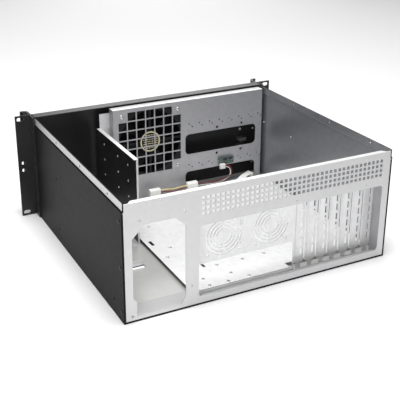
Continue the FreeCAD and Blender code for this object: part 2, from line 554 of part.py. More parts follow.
def handle(name, sign):
    body = new_body(name)
    face = "-$panel_t"
    tip = "-$panel_t - $handle_reach"
    web = "$handle_web_x - $handle_t"
    points = [("$handle_base_x", face), ("$handle_web_x", face),
              ("$handle_web_x", face + " - $handle_t - $handle_stem"),
              ("$handle_web_x + $handle_bow", tip + " + $handle_t + $handle_bow + $handle_ease"),
              ("$handle_web_x + $handle_curl", tip + " + $handle_t + $handle_ease / 2"),
              ("$handle_end_x", tip + " + $handle_t"), ("$handle_end_x", tip),
              (web + " + $handle_nose - $handle_bow", tip + " + $handle_ease / 2"),
              (web + " + $handle_curl - $handle_bow", tip + " + $handle_bow - $handle_ease"),
              (web + " + $handle_ease", tip + " + $handle_curl"),
              (web, tip + " + $handle_curl + $handle_curl"),
              (web, face + " - $handle_t"), ("$handle_base_x", face + " - $handle_t")]
    mirrored = [("%s(%s)" % (sign, u), v) for u, v in points]
    pad(body, name + "_extrusion", "XY_Plane", "$handle_margin", "$panel_h - $handle_margin",
        [outline(mirrored)])
    taps = [circle("%s$handle_screw_x" % sign, "$panel_h / 2 + %d * $handle_screw_z" % k,
                   "$handle_screw_r") for k in (-1, 0, 1)]
    cut(body, name + "_taps", "XZ_Plane", face + " - $handle_screw_depth", face + " + $over", taps)


# ---------- fan wall ----------
def pin_row(z, shift):
    return [circle("$pin_x - %d * $pin_gap - %s" % (k, shift), z, "$pin_r") for k in range(8)]


def fan_wall():
    body = new_body("fan_wall")
    front = "$wall_y - $plate"
    lip = "$wall_y - $wall_flange_d"
    pad(body, "wall_face", "XZ_Plane", front, "$wall_y",
        [rect("$wall_x0", "$wall_x1", "$skin", "$wall_top")])
    pad(body, "wall_top_flange", "XY_Plane", "$wall_top - $plate", "$wall_top",
        [rect("$wall_x0", "$wall_x1", lip, front)])
    pad(body, "wall_foot", "XY_Plane", "$skin", "$skin + $plate",
        [rect("$wall_x0", "$wall_x1", lip, front)])
    pad(body, "wall_side", "XY_Plane", "$skin", "$wall_top",
        [rect("$wall_x1 - $plate", "$wall_x1", lip, front)])
    pad(body, "wall_end", "XY_Plane", "$skin", "$wing_z",
        [rect("$wall_x0", "$wall_x0 + $plate", lip, front)])
    pad(body, "wall_wing", "XY_Plane", "$skin", "$wing_z",
        [rect("$wall_x1 - $plate", "$wing_x", lip, lip + " + $plate")])
    low = front + " - $over"
    high = "$wall_y + $over"
    column = []
    for k in range(7):
        column.append(box_at("$fan_x - 2 * $grid_pitch", "$fan_z + %d * $grid_pitch" % (k - 3),
                           "$grid_hole", "$grid_hole"))
    first = cut(body, "grid_column", "XZ_Plane", low, high, column)
    row(body, "grid_columns", first, "H_Axis", "$grid_pitch", "5")
    sides = []
    for side in ("-", "+"):
        for k in range(5):
            sides.append(box_at("$fan_x %s 3 * $grid_pitch" % side,
                                "$fan_z + %d * $grid_pitch" % (k - 2), "$grid_hole", "$grid_hole"))
    cut(body, "grid_sides", "XZ_Plane", low, high, sides)
    ports = []
    for z, tall in (("$upper_port_z", "$port_h"), ("$lower_port_z", "$lower_port_h")):
        ports.append(rounded("$port_x - $port_w / 2", "$port_x + $port_w / 2",
                             "%s - %s / 2" % (z, tall), "%s + %s / 2" % (z, tall), "$port_r"))
    cut(body, "cable_ports", "XZ_Plane", low, high, ports)
    pins = pin_row("$pin_top_z", "0") + pin_row("$pin_top_z - $pin_drop", "$pin_shift")
    cut(body, "upper_pins", "XZ_Plane", low, high, pins)
    pins = pin_row("$pin_low_z", "0") + pin_row("$pin_low_z - $pin_drop", "$pin_shift")
    cut(body, "lower_pins", "XZ_Plane", low, high, pins)
    posts = []
    for k in range(2):
        for z in ("$post_top_z", "$post_low_z"):
            posts.append(circle("$post_x - %d * $post_gap" % k, z, "$post_r"))
    cut(body, "post_holes", "XZ_Plane", low, high, posts + fan_screw_marks("$fan_hole_r"))


def fan_screw_marks(radius):
    marks = []
    for side in ("-", "+"):
        for rise in ("-", "+"):
            marks.append(circle("$fan_x %s $fan_hole" % side, "$fan_z %s $fan_hole" % rise, radius))
    return marks


# ---------- fan ----------
def fan_frame():
    body = new_body("fan_frame")
    back = "$wall_y - $plate"
    front = back + " - $fan_d"
    plate_back = back + " - $badge_t"
    plate_front = plate_back + " - $motor_t"
    pad(body, "frame_block", "XZ_Plane", front, back,
        [box_at("$fan_x", "$fan_z", "$fan_side", "$fan_side"),
         circle("$fan_x", "$fan_z", "$duct_r")])
    pad(body, "motor_plate", "XZ_Plane", plate_front, plate_back,
        [circle("$fan_x", "$fan_z", "$hub_r")])
    pad(body, "strut_upright", "XZ_Plane", plate_front, plate_back,
        [box_at("$fan_x", "$fan_z", "$strut_w", "2 * $duct_r + $plate")])
    pad(body, "strut_level", "XZ_Plane", plate_front, plate_back,
        [box_at("$fan_x", "$fan_z", "2 * $duct_r + $plate", "$strut_w")])
    pad(body, "axle", "XZ_Plane", plate_front + " - $axle_l", plate_front,
        [circle("$fan_x", "$fan_z", "$axle_r")])
    cut(body, "frame_screw_holes", "XZ_Plane", front + " - $over", back + " + $over",
        fan_screw_marks("$fan_hole_r"))


def blade_section(body, name, level, half, rise):
    corners = [("-(%s)" % half, "$rotor_mid - %s" % rise),
               (half, "$rotor_mid + %s - $blade_t" % rise),
               (half, "$rotor_mid + %s" % rise),
               ("-(%s)" % half, "$rotor_mid - %s + $blade_t" % rise)]
    return draw(body, name, "XY_Plane", level, [outline(corners)])


def fan_rotor():
    body = new_body("fan_rotor", "$fan_x", "$fan_z")
    cup_back = "$rotor_mid + $rotor_d / 2"
    cup_front = "$rotor_mid - $rotor_d / 2"
    pad(body, "hub_cup", "XZ_Plane", cup_front, cup_back, [circle("0", "0", "$hub_r")])
    root = blade_section(body, "blade_root_outline", "$hub_r - $cup_t", "$blade_root", "$blade_rise")
    tip = blade_section(body, "blade_tip_outline", "$rotor_r", "$blade_tip", "$blade_rise")
    blade = body.newObject("PartDesign::AdditiveLoft", "blade")
    blade.Profile = root
    blade.Sections = [tip]
    blade.Ruled = True
    ring = body.newObject("PartDesign::PolarPattern", "blade_ring")
    ring.Originals = [blade]
    ring.Axis = (origin_plane(body, "Y_Axis"), [""])
    ring.setExpression("Occurrences", link("$blades"))
    body.Tip = ring
    cut(body, "axle_bore", "XZ_Plane", cup_back + " - $axle_l", cup_back + " + $over",
        [circle("0", "0", "$axle_r + $axle_play")])


def fan_hub_ring():
    body = new_body("fan_hub_ring", "$fan_x", "$fan_z")
    pad(body, "hub_ring", "XZ_Plane", "$wall_y - $plate - $badge_t", "$wall_y - $plate",
        [circle("0", "0", "$badge_r"), circle("0", "0", "$badge_r - $badge_w")])


def fan_screws():
    body = new_body("fan_screws")
    pad(body, "fan_screw_shanks", "XZ_Plane", "$wall_y - $plate - $fan_hole_l", "$wall_y",
        fan_screw_marks("$fan_hole_r"))
    pad(body, "fan_screw_heads", "XZ_Plane", "$wall_y", "$wall_y + $pan_h",
        fan_screw_marks("$pan_r"))


# ---------- drive bracket ----------
def bracket_rivet_marks():
    return [circle("$rack_x + $rack_rivet_x", "$rack_y0 + $rack_end + %d * $rack_step" % k,
                   "$rivet_r") for k in range(3)]


def hdd_bracket():
    body = new_body("hdd_bracket")
    pad(body, "bracket_plate", "YZ_Plane", "$rack_x", "$rack_x + $plate",
        [outline([("$rack_y0", "$skin"), ("$rack_y1", "$skin"), ("$rack_y1", "$rack_top"),
                  ("$rack_y0 + $rack_cut", "$rack_top"), ("$rack_y0", "$rack_top - $rack_cut")])])
    pad(body, "bracket_top", "XY_Plane", "$rack_top - $plate", "$rack_top",
        [rect("$rack_x", "$rack_x + $rack_flange", "$rack_y0 + $rack_cut", "$rack_y1")])
    pad(body, "bracket_rear", "XY_Plane", "$skin", "$rack_top",
        [rect("$rack_x", "$rack_x + $rack_rear", "$rack_y1 - $plate", "$rack_y1")])
    pad(body, "bracket_foot", "XY_Plane", "$skin", "$skin + $plate",
        [rect("$rack_x", "$rack_x + $rack_foot", "$rack_y0", "$rack_y1")])
    holes = []
    for y in ("$drive_y", "$drive_y + $drive_mid", "$drive_y + $drive_far"):
        for k in range(4):
            holes.append(circle(y, "$drive_z + %d * $drive_gap" % k, "$drive_r"))
    cut(body, "drive_holes", "YZ_Plane", "$rack_x - $over", "$rack_x + $plate + $over", holes)
    cut(body, "foot_holes", "XY_Plane", "$skin - $over", "$skin + $plate + $over",
        bracket_rivet_marks())


def heads_at(marks, radius):
    return [circle(spec[0], spec[1], radius) for kind, spec in marks]


def bracket_rivets():
    body = new_body("bracket_rivets")
    marks = bracket_rivet_marks()
    pad(body, "bracket_rivet_shanks", "XY_Plane", "0", "$skin + $plate", marks)
    pad(body, "bracket_rivet_heads", "XY_Plane", "$skin + $plate", "$skin + $plate + $rivet_head_h",
        heads_at(marks, "$rivet_head_r"))


# ---------- rivets and screws in the sides ----------
def side_rivets(name, sign):
    body = new_body(name)
    marks = [circle("$rivet_y", "$rivet_z + %d * $rivet_gap" % k, "$rivet_r") for k in range(3)]
    inner = "$case_w / 2 - $skin - $plate"
    outer = "$case_w / 2"
    proud = "$case_w / 2 + $rivet_head_h"
    if sign == "":
        pad(body, name + "_shanks", "YZ_Plane", inner, outer, marks)
        pad(body, name + "_heads", "YZ_Plane", outer, proud, heads_at(marks, "$rivet_head_r"))
    else:
        pad(body, name + "_shanks", "YZ_Plane", "-(%s)" % outer, "-(%s)" % inner, marks)
        pad(body, name + "_heads", "YZ_Plane", "-(%s)" % proud, "-(%s)" % outer,
            heads_at(marks, "$rivet_head_r"))


def ear_screws(name, sign):
    body = new_body(name)
    marks = ear_screw_marks()
    inner = "$case_w / 2 - $skin - $plate"
    face = "$case_w / 2 + $ear_t"
    if sign == "":
        pad(body, name + "_shanks", "YZ_Plane", inner, face, marks)
        pad(body, name + "_heads", "YZ_Plane", face, face + " + $flat_h",
            heads_at(marks, "$flat_r"))
    else:
        pad(body, name + "_shanks", "YZ_Plane", "-(%s)" % face, "-(%s)" % inner, marks)
        pad(body, name + "_heads", "YZ_Plane", "-(%s + $flat_h)" % face, "-(%s)" % face,
            heads_at(marks, "$flat_r"))


def handle_screws():
    body = new_body("handle_screws")
    marks = [circle("%s$handle_screw_x" % sign, "$panel_h / 2 + %d * $handle_screw_z" % k,
                    "$handle_screw_r") for sign in ("", "-") for k in (-1, 0, 1)]
    pad(body, "handle_screw_shanks", "XZ_Plane", "-$panel_t - $handle_screw_depth", "0", marks)
    pad(body, "handle_screw_heads", "XZ_Plane", "0", "$pan_h", heads_at(marks, "$pan_r"))


def slot_cover_screws():
    body = new_body("slot_cover_screws")
    marks = [circle(cover_x(k), "$case_d - $recess + $cover_screw_d", "$cover_screw_r")
             for k in range(7)]
    top = "$io_top + $cover_t"
    pad(body, "cover_screw_shanks", "XY_Plane", "$io_top - $plate", top, marks)
    pad(body, "cover_screw_heads", "XY_Plane", top, top + " + $pan_h", heads_at(marks, "$pan_r"))


# ---------- wiring board and plugs ----------
def stand_marks(radius):
    middle = "($board_z0 + $board_z1) / 2"
    inset = "2 * $stand_r"
    return [circle("$board_x0 + " + inset, middle, radius),
            circle("$board_x1 - " + inset, middle, radius)]


def wiring_board():
    body = new_body("wiring_board")
    face = "$wall_y + $stand_h"
    pad(body, "board", "XZ_Plane", face, face + " + $board_t",
        [rect("$board_x0", "$board_x1", "$board_z0", "$board_z1")])


def board_spacers():
    body = new_body("board_spacers")
    pad(body, "spacer_posts", "XZ_Plane", "$wall_y", "$wall_y + $stand_h", stand_marks("$stand_r"))


def board_header():
    body = new_body("board_header")
    face = "$wall_y + $stand_h + $board_t"
    pad(body, "header_block", "XZ_Plane", face, face + " + $header_d",
        [rect("$board_x1 - $header_w", "$board_x1",
              "$board_z0 + $header_lap - $header_h", "$board_z0 + $header_lap")])


def plug_housing(name, x):
    body = new_body(name, x)
    middle = "$tray_top + $plug_w / 2"
    pad(body, name + "_housing", "YZ_Plane", "-$plug_d / 2", "$plug_d / 2",
        [box_at("$plug_y", middle, "$plug_h", "$plug_w")])
    return body, middle


def open_plug(name, x):
    body, middle = plug_housing(name, x)
    cut(body, name + "_mouth", "YZ_Plane", "$plug_d / 2 - $plug_mouth", "$plug_d / 2 + $over",
        [box_at("$plug_y", middle, "$plug_h - 2 * $plug_wall", "$plug_w - 2 * $plug_wall")])


def mated_plug(name, x):
    body, middle = plug_housing(name, x)
    cut(body, name + "_seam", "YZ_Plane", "-$plug_seam / 2", "$plug_seam / 2",
        [box_at("$plug_y", middle, "$plug_h + $over", "$plug_w + $over"),
         box_at("$plug_y", middle, "$plug_h - 2 * $seam_depth", "$plug_w - 2 * $seam_depth")])


def ribbon_cable():
    body = new_body("ribbon_cable")
    low = "$tray_top + $ribbon_rest"
    pad(body, "ribbon_strip", "XY_Plane", low, low + " + $ribbon_t",
        [outline([("$ribbon_x0", "$ribbon_y0"), ("$ribbon_x1", "$ribbon_y1"),
                  ("$ribbon_x1", "$ribbon_y1 + $ribbon_w"),
                  ("$ribbon_x0", "$ribbon_y0 + $ribbon_w")])])


def ribbon_clamps():
    body = new_body("ribbon_clamps")
    low = "$tray_top + $ribbon_rest + $ribbon_t"
    ends = (("$ribbon_x0 - $clamp_d / 2", "$ribbon_y0"), ("$ribbon_x1 + $clamp_d / 2", "$ribbon_y1"))
    pad(body, "clamp_blocks", "XY_Plane", low, low + " + $clamp_t",
        [box_at(x, y + " + $ribbon_w / 2", "$clamp_d", "$clamp_w") for x, y in ends])


# ---------- wires: straight runs joined by tangent arcs ----------
# Each route is chosen by hand in the case's own coordinates, plug to plug.
WIRES = {
    "harness_yellow": (1.8, [(9, 52, 22.4), (-2, 52, 22.4), (-17, 53, 20), (-32, 52, 21.4),
                             (-44, 52, 21.4)]),
    "harness_red": (1.8, [(9, 52, 18.2), (-2, 52, 18.2), (-17, 53.6, 15.8), (-32, 52, 17.4),
                          (-44, 52, 17.4)]),
    "harness_black": (1.8, [(9, 52, 14), (-2, 52, 14), (-17, 50.6, 12), (-32, 52, 13.3),
                            (-44, 52, 13.3)]),
    "board_lead_red": (1.4, [(-128, 38.6, 40.5), (-133, 38.6, 40.5), (-139.6, 41, 37),
                             (-140.2, 44.8, 28.4), (-133, 49, 22.6), (-118, 52.6, 19.6),
                             (-99, 53, 18.6), (-79, 52, 21.6), (-64, 52, 21.6)]),
    "board_lead_white": (1.4, [(-128, 38.6, 37.4), (-132, 38.6, 37.4), (-137.4, 40.6, 34.4),
                               (-138, 44, 26.6), (-131.4, 48.4, 20.6), (-117, 51.4, 16.4),
                               (-98, 52.8, 15), (-79, 52, 17.4), (-64, 52, 17.4)]),
}


def wire_radii(points):
    radii = []
    for before, here, after in zip(points, points[1:], points[2:]):
        back = (before - here)
        ahead = (after - here)
        half_turn = (math.pi - back.getAngle(ahead)) / 2
        radii.append(0.45 * min(back.Length, ahead.Length) / math.tan(half_turn))
    return radii


def wire_edges(points, radii):
    edges = []
    start = points[0]
    for before, here, after, radius in zip(points, points[1:], points[2:], radii):
        back = (before - here).normalize()
        ahead = (after - here).normalize()
        half_turn = (math.pi - back.getAngle(ahead)) / 2
        reach = radius * math.tan(half_turn)
        inward = (back + ahead).normalize()
        entry = here + back * reach
        leave = here + ahead * reach
        crown = here + inward * (radius / math.cos(half_turn) - radius)
        edges.append(Part.LineSegment(start, entry).toShape())
        edges.append(Part.Arc(entry, crown, leave).toShape())
        start = leave
    edges.append(Part.LineSegment(start, points[-1]).toShape())
    return edges


def wire_tube(name):
    diameter, route = WIRES[name]
    points = [FreeCAD.Vector(*point) for point in route]
    radii = wire_radii(points)
    path = Part.Wire(wire_edges(points, radii))
    ring = Part.Circle(points[0], points[1] - points[0], diameter / 2).toShape()
    tube = path.makePipeShell([Part.Wire(ring)], True, False)
    item = doc.addObject("Part::Feature", name)
    item.Label = name
    item.Shape = tube
    item.Placement.Base.y = number("$datum_y")
    expected = path.Length * math.pi * diameter ** 2 / 4
    print("%s: length %.1f, smallest radius %.1f diameters, volume ratio %.4f" % (
        name, path.Length, min(radii) / diameter, tube.Volume / expected))


# ---------- front controls ----------
def button(name, z, radius):
    body = new_body(name)
    pad(body, name + "_cap", "XZ_Plane", "-$panel_t - $button_proud", "$button_gap",
        [circle("$control_x", z, radius)])
    pad(body, name + "_collar", "XZ_Plane", "$button_gap", "$button_gap + $collar_t",
        [circle("$control_x", z, radius + " + $button_collar")])


def switch(name, z):
    body = new_body(name)
    near = "$button_gap + $collar_t + $button_travel + $button_gap"
    pad(body, name + "_block", "XZ_Plane", near, near + " + $switch_d",
        [box_at("$control_x", z, "$switch_side", "$switch_side")])
    reach = "$control_x + ($power_r + 2 * $button_collar) "
    pad(body, name + "_leg", "XZ_Plane", "0", near + " + $switch_d",
        [rect(reach, reach + " + $button_collar", z + " - $switch_side / 2",
              z + " + $switch_side / 2")])
    pad(body, name + "_bridge", "XZ_Plane", near + " + $switch_d - $collar_t", near + " + $switch_d",
        [rect("$control_x", reach + " + $plate", z + " - $switch_side / 2",
              z + " + $switch_side / 2")])


def lamp_lenses():
    body = new_body("lamp_lenses")
    marks = [circle("$control_x", "$lamp_z", "$lamp_r"),
             circle("$control_x", "$lamp_z - $lamp_gap", "$lamp_r")]
    pad(body, "lamp_stems", "XZ_Plane", "-$panel_t - $lamp_proud", "0", marks)
    pad(body, "lamp_flanges", "XZ_Plane", "0", "$collar_t", heads_at(marks, "$lamp_flange"))


def usb_ports():
    body = new_body("usb_ports")
    shapes = [box_at("$control_x", "$usb_z", "$usb_w", "$usb_h"),
              box_at("$control_x", "$usb_z - $usb_gap", "$usb_w", "$usb_h")]
    pad(body, "usb_shells", "XZ_Plane", "-$panel_t", "$usb_d", shapes)
    mouths = [box_at("$control_x", z, "$usb_w - 2 * $usb_shell", "$usb_h - 2 * $usb_shell")
              for z in ("$usb_z", "$usb_z - $usb_gap")]
    cut(body, "usb_mouths", "XZ_Plane", "-$panel_t - $over", "$usb_d - $plate", mouths)
    tongues = [box_at("$control_x", z + " + $plate", "$usb_w - 3 * $plate", "$plate")
               for z in ("$usb_z", "$usb_z - $usb_gap")]
    pad(body, "usb_tongues", "XZ_Plane", "$collar_t", "$usb_d - $plate / 2", tongues)


def build():
    fill_sheet()
    chassis_shell()
    rear_panel()
    rear_io_panel()
    for k in range(7):
        slot_cover(k)
    slot_cover_screws()
    motherboard_tray()
    tray_press_nuts()
    front_panel()
    fan_filter()
    rack_ear("rack_ear_right", "")
    rack_ear("rack_ear_left", "-")
    handle("handle_right", "")
    handle("handle_left", "-")
    handle_screws()
    ear_screws("ear_screws_right", "")
    ear_screws("ear_screws_left", "-")
    side_rivets("rear_rivets_right", "")
    side_rivets("rear_rivets_left", "-")
    fan_wall()
    fan_frame()
    fan_rotor()
    fan_hub_ring()
    fan_screws()
    hdd_bracket()
    bracket_rivets()
    wiring_board()
    board_spacers()
    board_header()
    open_plug("drive_plug_near", "$plug_a_x")
    mated_plug("drive_plug_far", "$plug_b_x")
    ribbon_cable()
    ribbon_clamps()
    button("power_button", "$power_z", "$power_r")
    button("reset_button", "$reset_z", "$reset_r")
    switch("power_switch", "$power_z")
    switch("reset_switch", "$reset_z")
    lamp_lenses()
    usb_ports()
    doc.recompute()
    for name in WIRES:
        wire_tube(name)
    doc.recompute()


def problems():
    found = []
    for item in doc.Objects:
        if "Invalid" in item.State or "Error" in item.State:
            found.append("%s: %s" % (item.Name, item.State))
    return found


def write_parts():
    os.makedirs("parts", exist_ok=True)
    bodies = [item for item in doc.Objects if item.TypeId in ("PartDesign::Body", "Part::Feature")]
    for body in bodies:
        shape = body.Shape
        if shape.isNull() or not shape.isValid():
            raise RuntimeError("bad shape: " + body.Label)
    for body in bodies:
        body.Shape.exportStep("parts/%s.step" % body.Label)
        box = body.Shape.BoundBox
        print("%-20s %3d solids  x %8.2f %8.2f  y %8.2f %8.2f  z %7.2f %7.2f" % (
            body.Label, len(body.Shape.Solids), box.XMin, box.XMax, box.YMin, box.YMax,
            box.ZMin, box.ZMax))
    print(len(bodies), "parts")


build()
faults = problems()
if faults:
    raise RuntimeError("; ".join(faults))
write_parts()
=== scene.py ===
import json
import math
import random

import bmesh
import bpy
from mathutils import Matrix, Quaternion, Vector


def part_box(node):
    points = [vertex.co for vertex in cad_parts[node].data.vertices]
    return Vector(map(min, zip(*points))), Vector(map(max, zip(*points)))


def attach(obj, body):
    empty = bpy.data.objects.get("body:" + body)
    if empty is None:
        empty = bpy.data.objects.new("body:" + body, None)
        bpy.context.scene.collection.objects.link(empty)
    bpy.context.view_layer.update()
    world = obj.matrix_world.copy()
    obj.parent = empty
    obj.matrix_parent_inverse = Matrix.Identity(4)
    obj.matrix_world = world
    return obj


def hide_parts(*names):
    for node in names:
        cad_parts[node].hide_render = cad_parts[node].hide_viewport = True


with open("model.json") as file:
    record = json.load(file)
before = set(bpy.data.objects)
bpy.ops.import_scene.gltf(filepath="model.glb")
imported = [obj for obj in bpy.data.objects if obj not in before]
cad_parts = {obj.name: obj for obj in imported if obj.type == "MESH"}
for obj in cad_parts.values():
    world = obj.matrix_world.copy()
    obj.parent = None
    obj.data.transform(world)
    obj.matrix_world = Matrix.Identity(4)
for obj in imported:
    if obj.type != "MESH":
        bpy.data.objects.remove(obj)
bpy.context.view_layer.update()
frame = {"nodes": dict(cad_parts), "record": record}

MM = 0.001
DATUM_Y = -180.5 * MM       # the rear face of the rack ears, where the case's own Y starts
WELD = 1e-7                 # points closer than this are one, in a form made here
CAD_WELD = 1e-6             # the same, in a mesh that comes from the solids
FACING = 0.5                # a face looks along an axis when its normal has more than this

# ---------- camera ----------
CAMERA_AT = Vector((0.5550, 1.0806, 0.6020))
VIEW_TURN = math.radians(152.67)
VIEW_DROP = math.radians(21.51)
VIEW_ROLL = math.radians(0.28)
LENS = 74.08
SENSOR = 36.0
SHIFT_Y = -0.1
CLIP_END = 50.0


def add_camera():
    data = bpy.data.cameras.new("view_camera")
    data.lens = LENS
    data.sensor_width = SENSOR
    data.shift_y = SHIFT_Y
    data.clip_end = CLIP_END
    back = Vector((math.sin(VIEW_TURN) * math.cos(VIEW_DROP),
                   -math.cos(VIEW_TURN) * math.cos(VIEW_DROP), math.sin(VIEW_DROP)))
    turn = (-back).to_track_quat("-Z", "Y") @ Quaternion((0, 0, 1), VIEW_ROLL)
    camera = bpy.data.objects.new("view_camera", data)
    camera.location = CAMERA_AT
    camera.rotation_mode = "QUATERNION"
    camera.rotation_quaternion = turn
    bpy.context.scene.collection.objects.link(camera)
    bpy.context.scene.camera = camera


# ---------- wires ----------
# node: (look, diameter, route), in the case's own millimetres.
WIRES = {
    "harness_yellow": ("wire_yellow", 1.8, [
        (-44, 52, 21.4), (-32, 52, 21.4), (-17, 53, 20), (-2, 52, 22.4), (9, 52, 22.4)]),
    "harness_red": ("wire_red", 1.8, [
        (-44, 52, 17.4), (-32, 52, 17.4), (-17, 53.6, 15.8), (-2, 52, 18.2), (9, 52, 18.2)]),
    "harness_black": ("wire_black", 1.8, [
        (-44, 52, 13.3), (-32, 52, 13.3), (-17, 50.6, 12), (-2, 52, 14), (9, 52, 14)]),
    "board_lead_red": ("wire_red", 1.4, [
        (-128, 38.6, 40.5), (-133, 38.6, 40.5), (-139.6, 41, 37), (-140.2, 44.8, 28.4),
        (-133, 49, 22.6), (-118, 52.6, 19.6), (-99, 53, 18.6), (-79, 52, 21.6),
        (-64, 52, 21.6)]),
    "board_lead_white": ("wire_white", 1.4, [
        (-128, 38.6, 37.4), (-132, 38.6, 37.4), (-137.4, 40.6, 34.4), (-138, 44, 26.6),
        (-131.4, 48.4, 20.6), (-117, 51.4, 16.4), (-98, 52.8, 15), (-79, 52, 17.4),
        (-64, 52, 17.4)]),
}
WIRE_ROUNDS = 3
WIRE_STEPS = 10
WIRE_ORDER = 3


def spot(x, y, z):
    """A place given in the case's own millimetres, in metres of the frame."""
    return Vector((x * MM, y * MM + DATUM_Y, z * MM))


def add_wire(node, look, diameter, route):
    curve = bpy.data.curves.new(node + "_wire", "CURVE")
    curve.dimensions = "3D"
    curve.bevel_depth = diameter * MM / 2
    curve.bevel_resolution = WIRE_ROUNDS
    curve.resolution_u = WIRE_STEPS
    curve.use_fill_caps = True
    line = curve.splines.new("NURBS")
    line.points.add(len(route) - 1)
    for point, place in zip(line.points, route):
        point.co = (*spot(*place), 1.0)
    line.order_u = WIRE_ORDER
    line.use_endpoint_u = True
    wire = bpy.data.objects.new(node + "_wire", curve)
    bpy.context.scene.collection.objects.link(wire)
    curve.materials.append(MATERIALS[look])
    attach(wire, "case")
    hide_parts(node)


def add_wires():
    for node, (look, diameter, route) in WIRES.items():
        add_wire(node, look, diameter, route)


# ---------- materials ----------
COAT_GRAIN = 0.00002        # metres
MOULD_GRAIN = 0.00003
FOAM_GRAIN = 0.0006
EVEN = (1.0, 1.0, 1.0)
DRAWN = (8.0, 8.0, 0.3)     # noise drawn out along Z, as on an extruded bar
DRAWN_FINE = (8.0, 8.0, 0.2)
LEAST_ROUGHNESS = 0.02
PATCH_EDGES = (0.3, 0.7)    # where in the noise the darker and the lighter patches start


class Surface:
    """A procedural material: a Principled shader whose inputs are driven by noise."""

    def __init__(self, name, colour, metallic=0.0, roughness=0.5, specular=0.5):
        self.material = bpy.data.materials.new(name)
        self.material.use_nodes = True
        self.nodes = self.material.node_tree.nodes
        self.links = self.material.node_tree.links
        self.shader = self.nodes["Principled BSDF"]
        self.shader.inputs["Base Color"].default_value = (*colour, 1.0)
        self.shader.inputs["Metallic"].default_value = metallic
        self.shader.inputs["Roughness"].default_value = roughness
        self.shader.inputs["Specular IOR Level"].default_value = specular
        self.colour = colour
        self.roughness = roughness

    def tinted(self, factor):
        return (*[min(1.0, channel * factor) for channel in self.colour], 1.0)

    def noise(self, scale, detail=3.0, stretch=EVEN):
        place = self.nodes.new("ShaderNodeTexCoord")
        mapping = self.nodes.new("ShaderNodeMapping")
        mapping.inputs["Scale"].default_value = stretch
        self.links.new(place.outputs["Object"], mapping.inputs["Vector"])
        texture = self.nodes.new("ShaderNodeTexNoise")
        texture.inputs["Scale"].default_value = scale
        texture.inputs["Detail"].default_value = detail
        self.links.new(mapping.outputs["Vector"], texture.inputs["Vector"])
        return texture.outputs["Fac"]

    def vary_colour(self, scale, amount):
        ramp = self.nodes.new("ShaderNodeValToRGB")
        factors = (1.0 - amount, 1.0 + amount)
        for element, edge, factor in zip(ramp.color_ramp.elements, PATCH_EDGES, factors):
            element.position = edge
            element.color = self.tinted(factor)
        self.links.new(self.noise(scale), ramp.inputs["Fac"])
        self.links.new(ramp.outputs["Color"], self.shader.inputs["Base Color"])
        return self

    def spangle(self, scale, amount):
        """The faint crystal pattern of a zinc coat: cells, each a little lighter or darker."""
        place = self.nodes.new("ShaderNodeTexCoord")
        cells = self.nodes.new("ShaderNodeTexVoronoi")
        cells.inputs["Scale"].default_value = scale
        self.links.new(place.outputs["Object"], cells.inputs["Vector"])
        ramp = self.nodes.new("ShaderNodeValToRGB")
        for element, factor in zip(ramp.color_ramp.elements, (1.0 - amount, 1.0 + amount)):
            element.color = self.tinted(factor)
        self.links.new(cells.outputs["Color"], ramp.inputs["Fac"])
        self.links.new(ramp.outputs["Color"], self.shader.inputs["Base Color"])
        return self

    def vary_roughness(self, scale, amount, stretch=EVEN):
        span = self.nodes.new("ShaderNodeMapRange")
        span.inputs["To Min"].default_value = max(LEAST_ROUGHNESS, self.roughness - amount)
        span.inputs["To Max"].default_value = min(1.0, self.roughness + amount)
        self.links.new(self.noise(scale, stretch=stretch), span.inputs["Value"])
        self.links.new(span.outputs["Result"], self.shader.inputs["Roughness"])
        return self

    def rough_up(self, scale, depth, strength, stretch=EVEN):
        bump = self.nodes.new("ShaderNodeBump")
        bump.inputs["Strength"].default_value = strength
        bump.inputs["Distance"].default_value = depth
        self.links.new(self.noise(scale, 2.0, stretch), bump.inputs["Height"])
        self.links.new(bump.outputs["Normal"], self.shader.inputs["Normal"])
        return self


def powder_coat(name, colour, roughness=0.34, specular=0.25):
    surface = Surface(name, colour, 0.0, roughness, specular)
    surface.vary_colour(scale=14.0, amount=0.12)
    surface.vary_roughness(scale=160.0, amount=0.05)
    return surface.rough_up(scale=700.0, depth=COAT_GRAIN, strength=0.2).material


def zinc_sheet(name, colour, roughness=0.42, metallic=0.5, mottle=0.05):
    surface = Surface(name, colour, metallic, roughness)
    surface.vary_roughness(scale=220.0, amount=mottle)
    surface.spangle(scale=150.0, amount=mottle)
    return surface.rough_up(scale=900.0, depth=COAT_GRAIN, strength=0.2).material


def plated_metal(name, colour, roughness=0.3):
    surface = Surface(name, colour, 0.9, roughness)
    surface.vary_roughness(scale=600.0, amount=0.06)
    return surface.vary_colour(scale=120.0, amount=0.05).material


def anodised(name, colour):
    surface = Surface(name, colour, 0.35, 0.38)
    surface.vary_colour(scale=40.0, amount=0.1)
    surface.vary_roughness(scale=400.0, amount=0.05, stretch=DRAWN)
    return surface.rough_up(900.0, COAT_GRAIN, 0.2, DRAWN_FINE).material


def moulded(name, colour, roughness=0.5, grain=MOULD_GRAIN, specular=0.5):
    surface = Surface(name, colour, 0.0, roughness, specular)
    surface.vary_colour(scale=60.0, amount=0.06)
    surface.vary_roughness(scale=300.0, amount=0.05)
    return surface.rough_up(scale=1200.0, depth=grain, strength=0.25).material


def foam(name, colour):
    surface = Surface(name, colour, 0.0, 0.95, 0.1)
    surface.vary_colour(scale=700.0, amount=0.5)
    return surface.rough_up(scale=700.0, depth=FOAM_GRAIN, strength=0.9).material


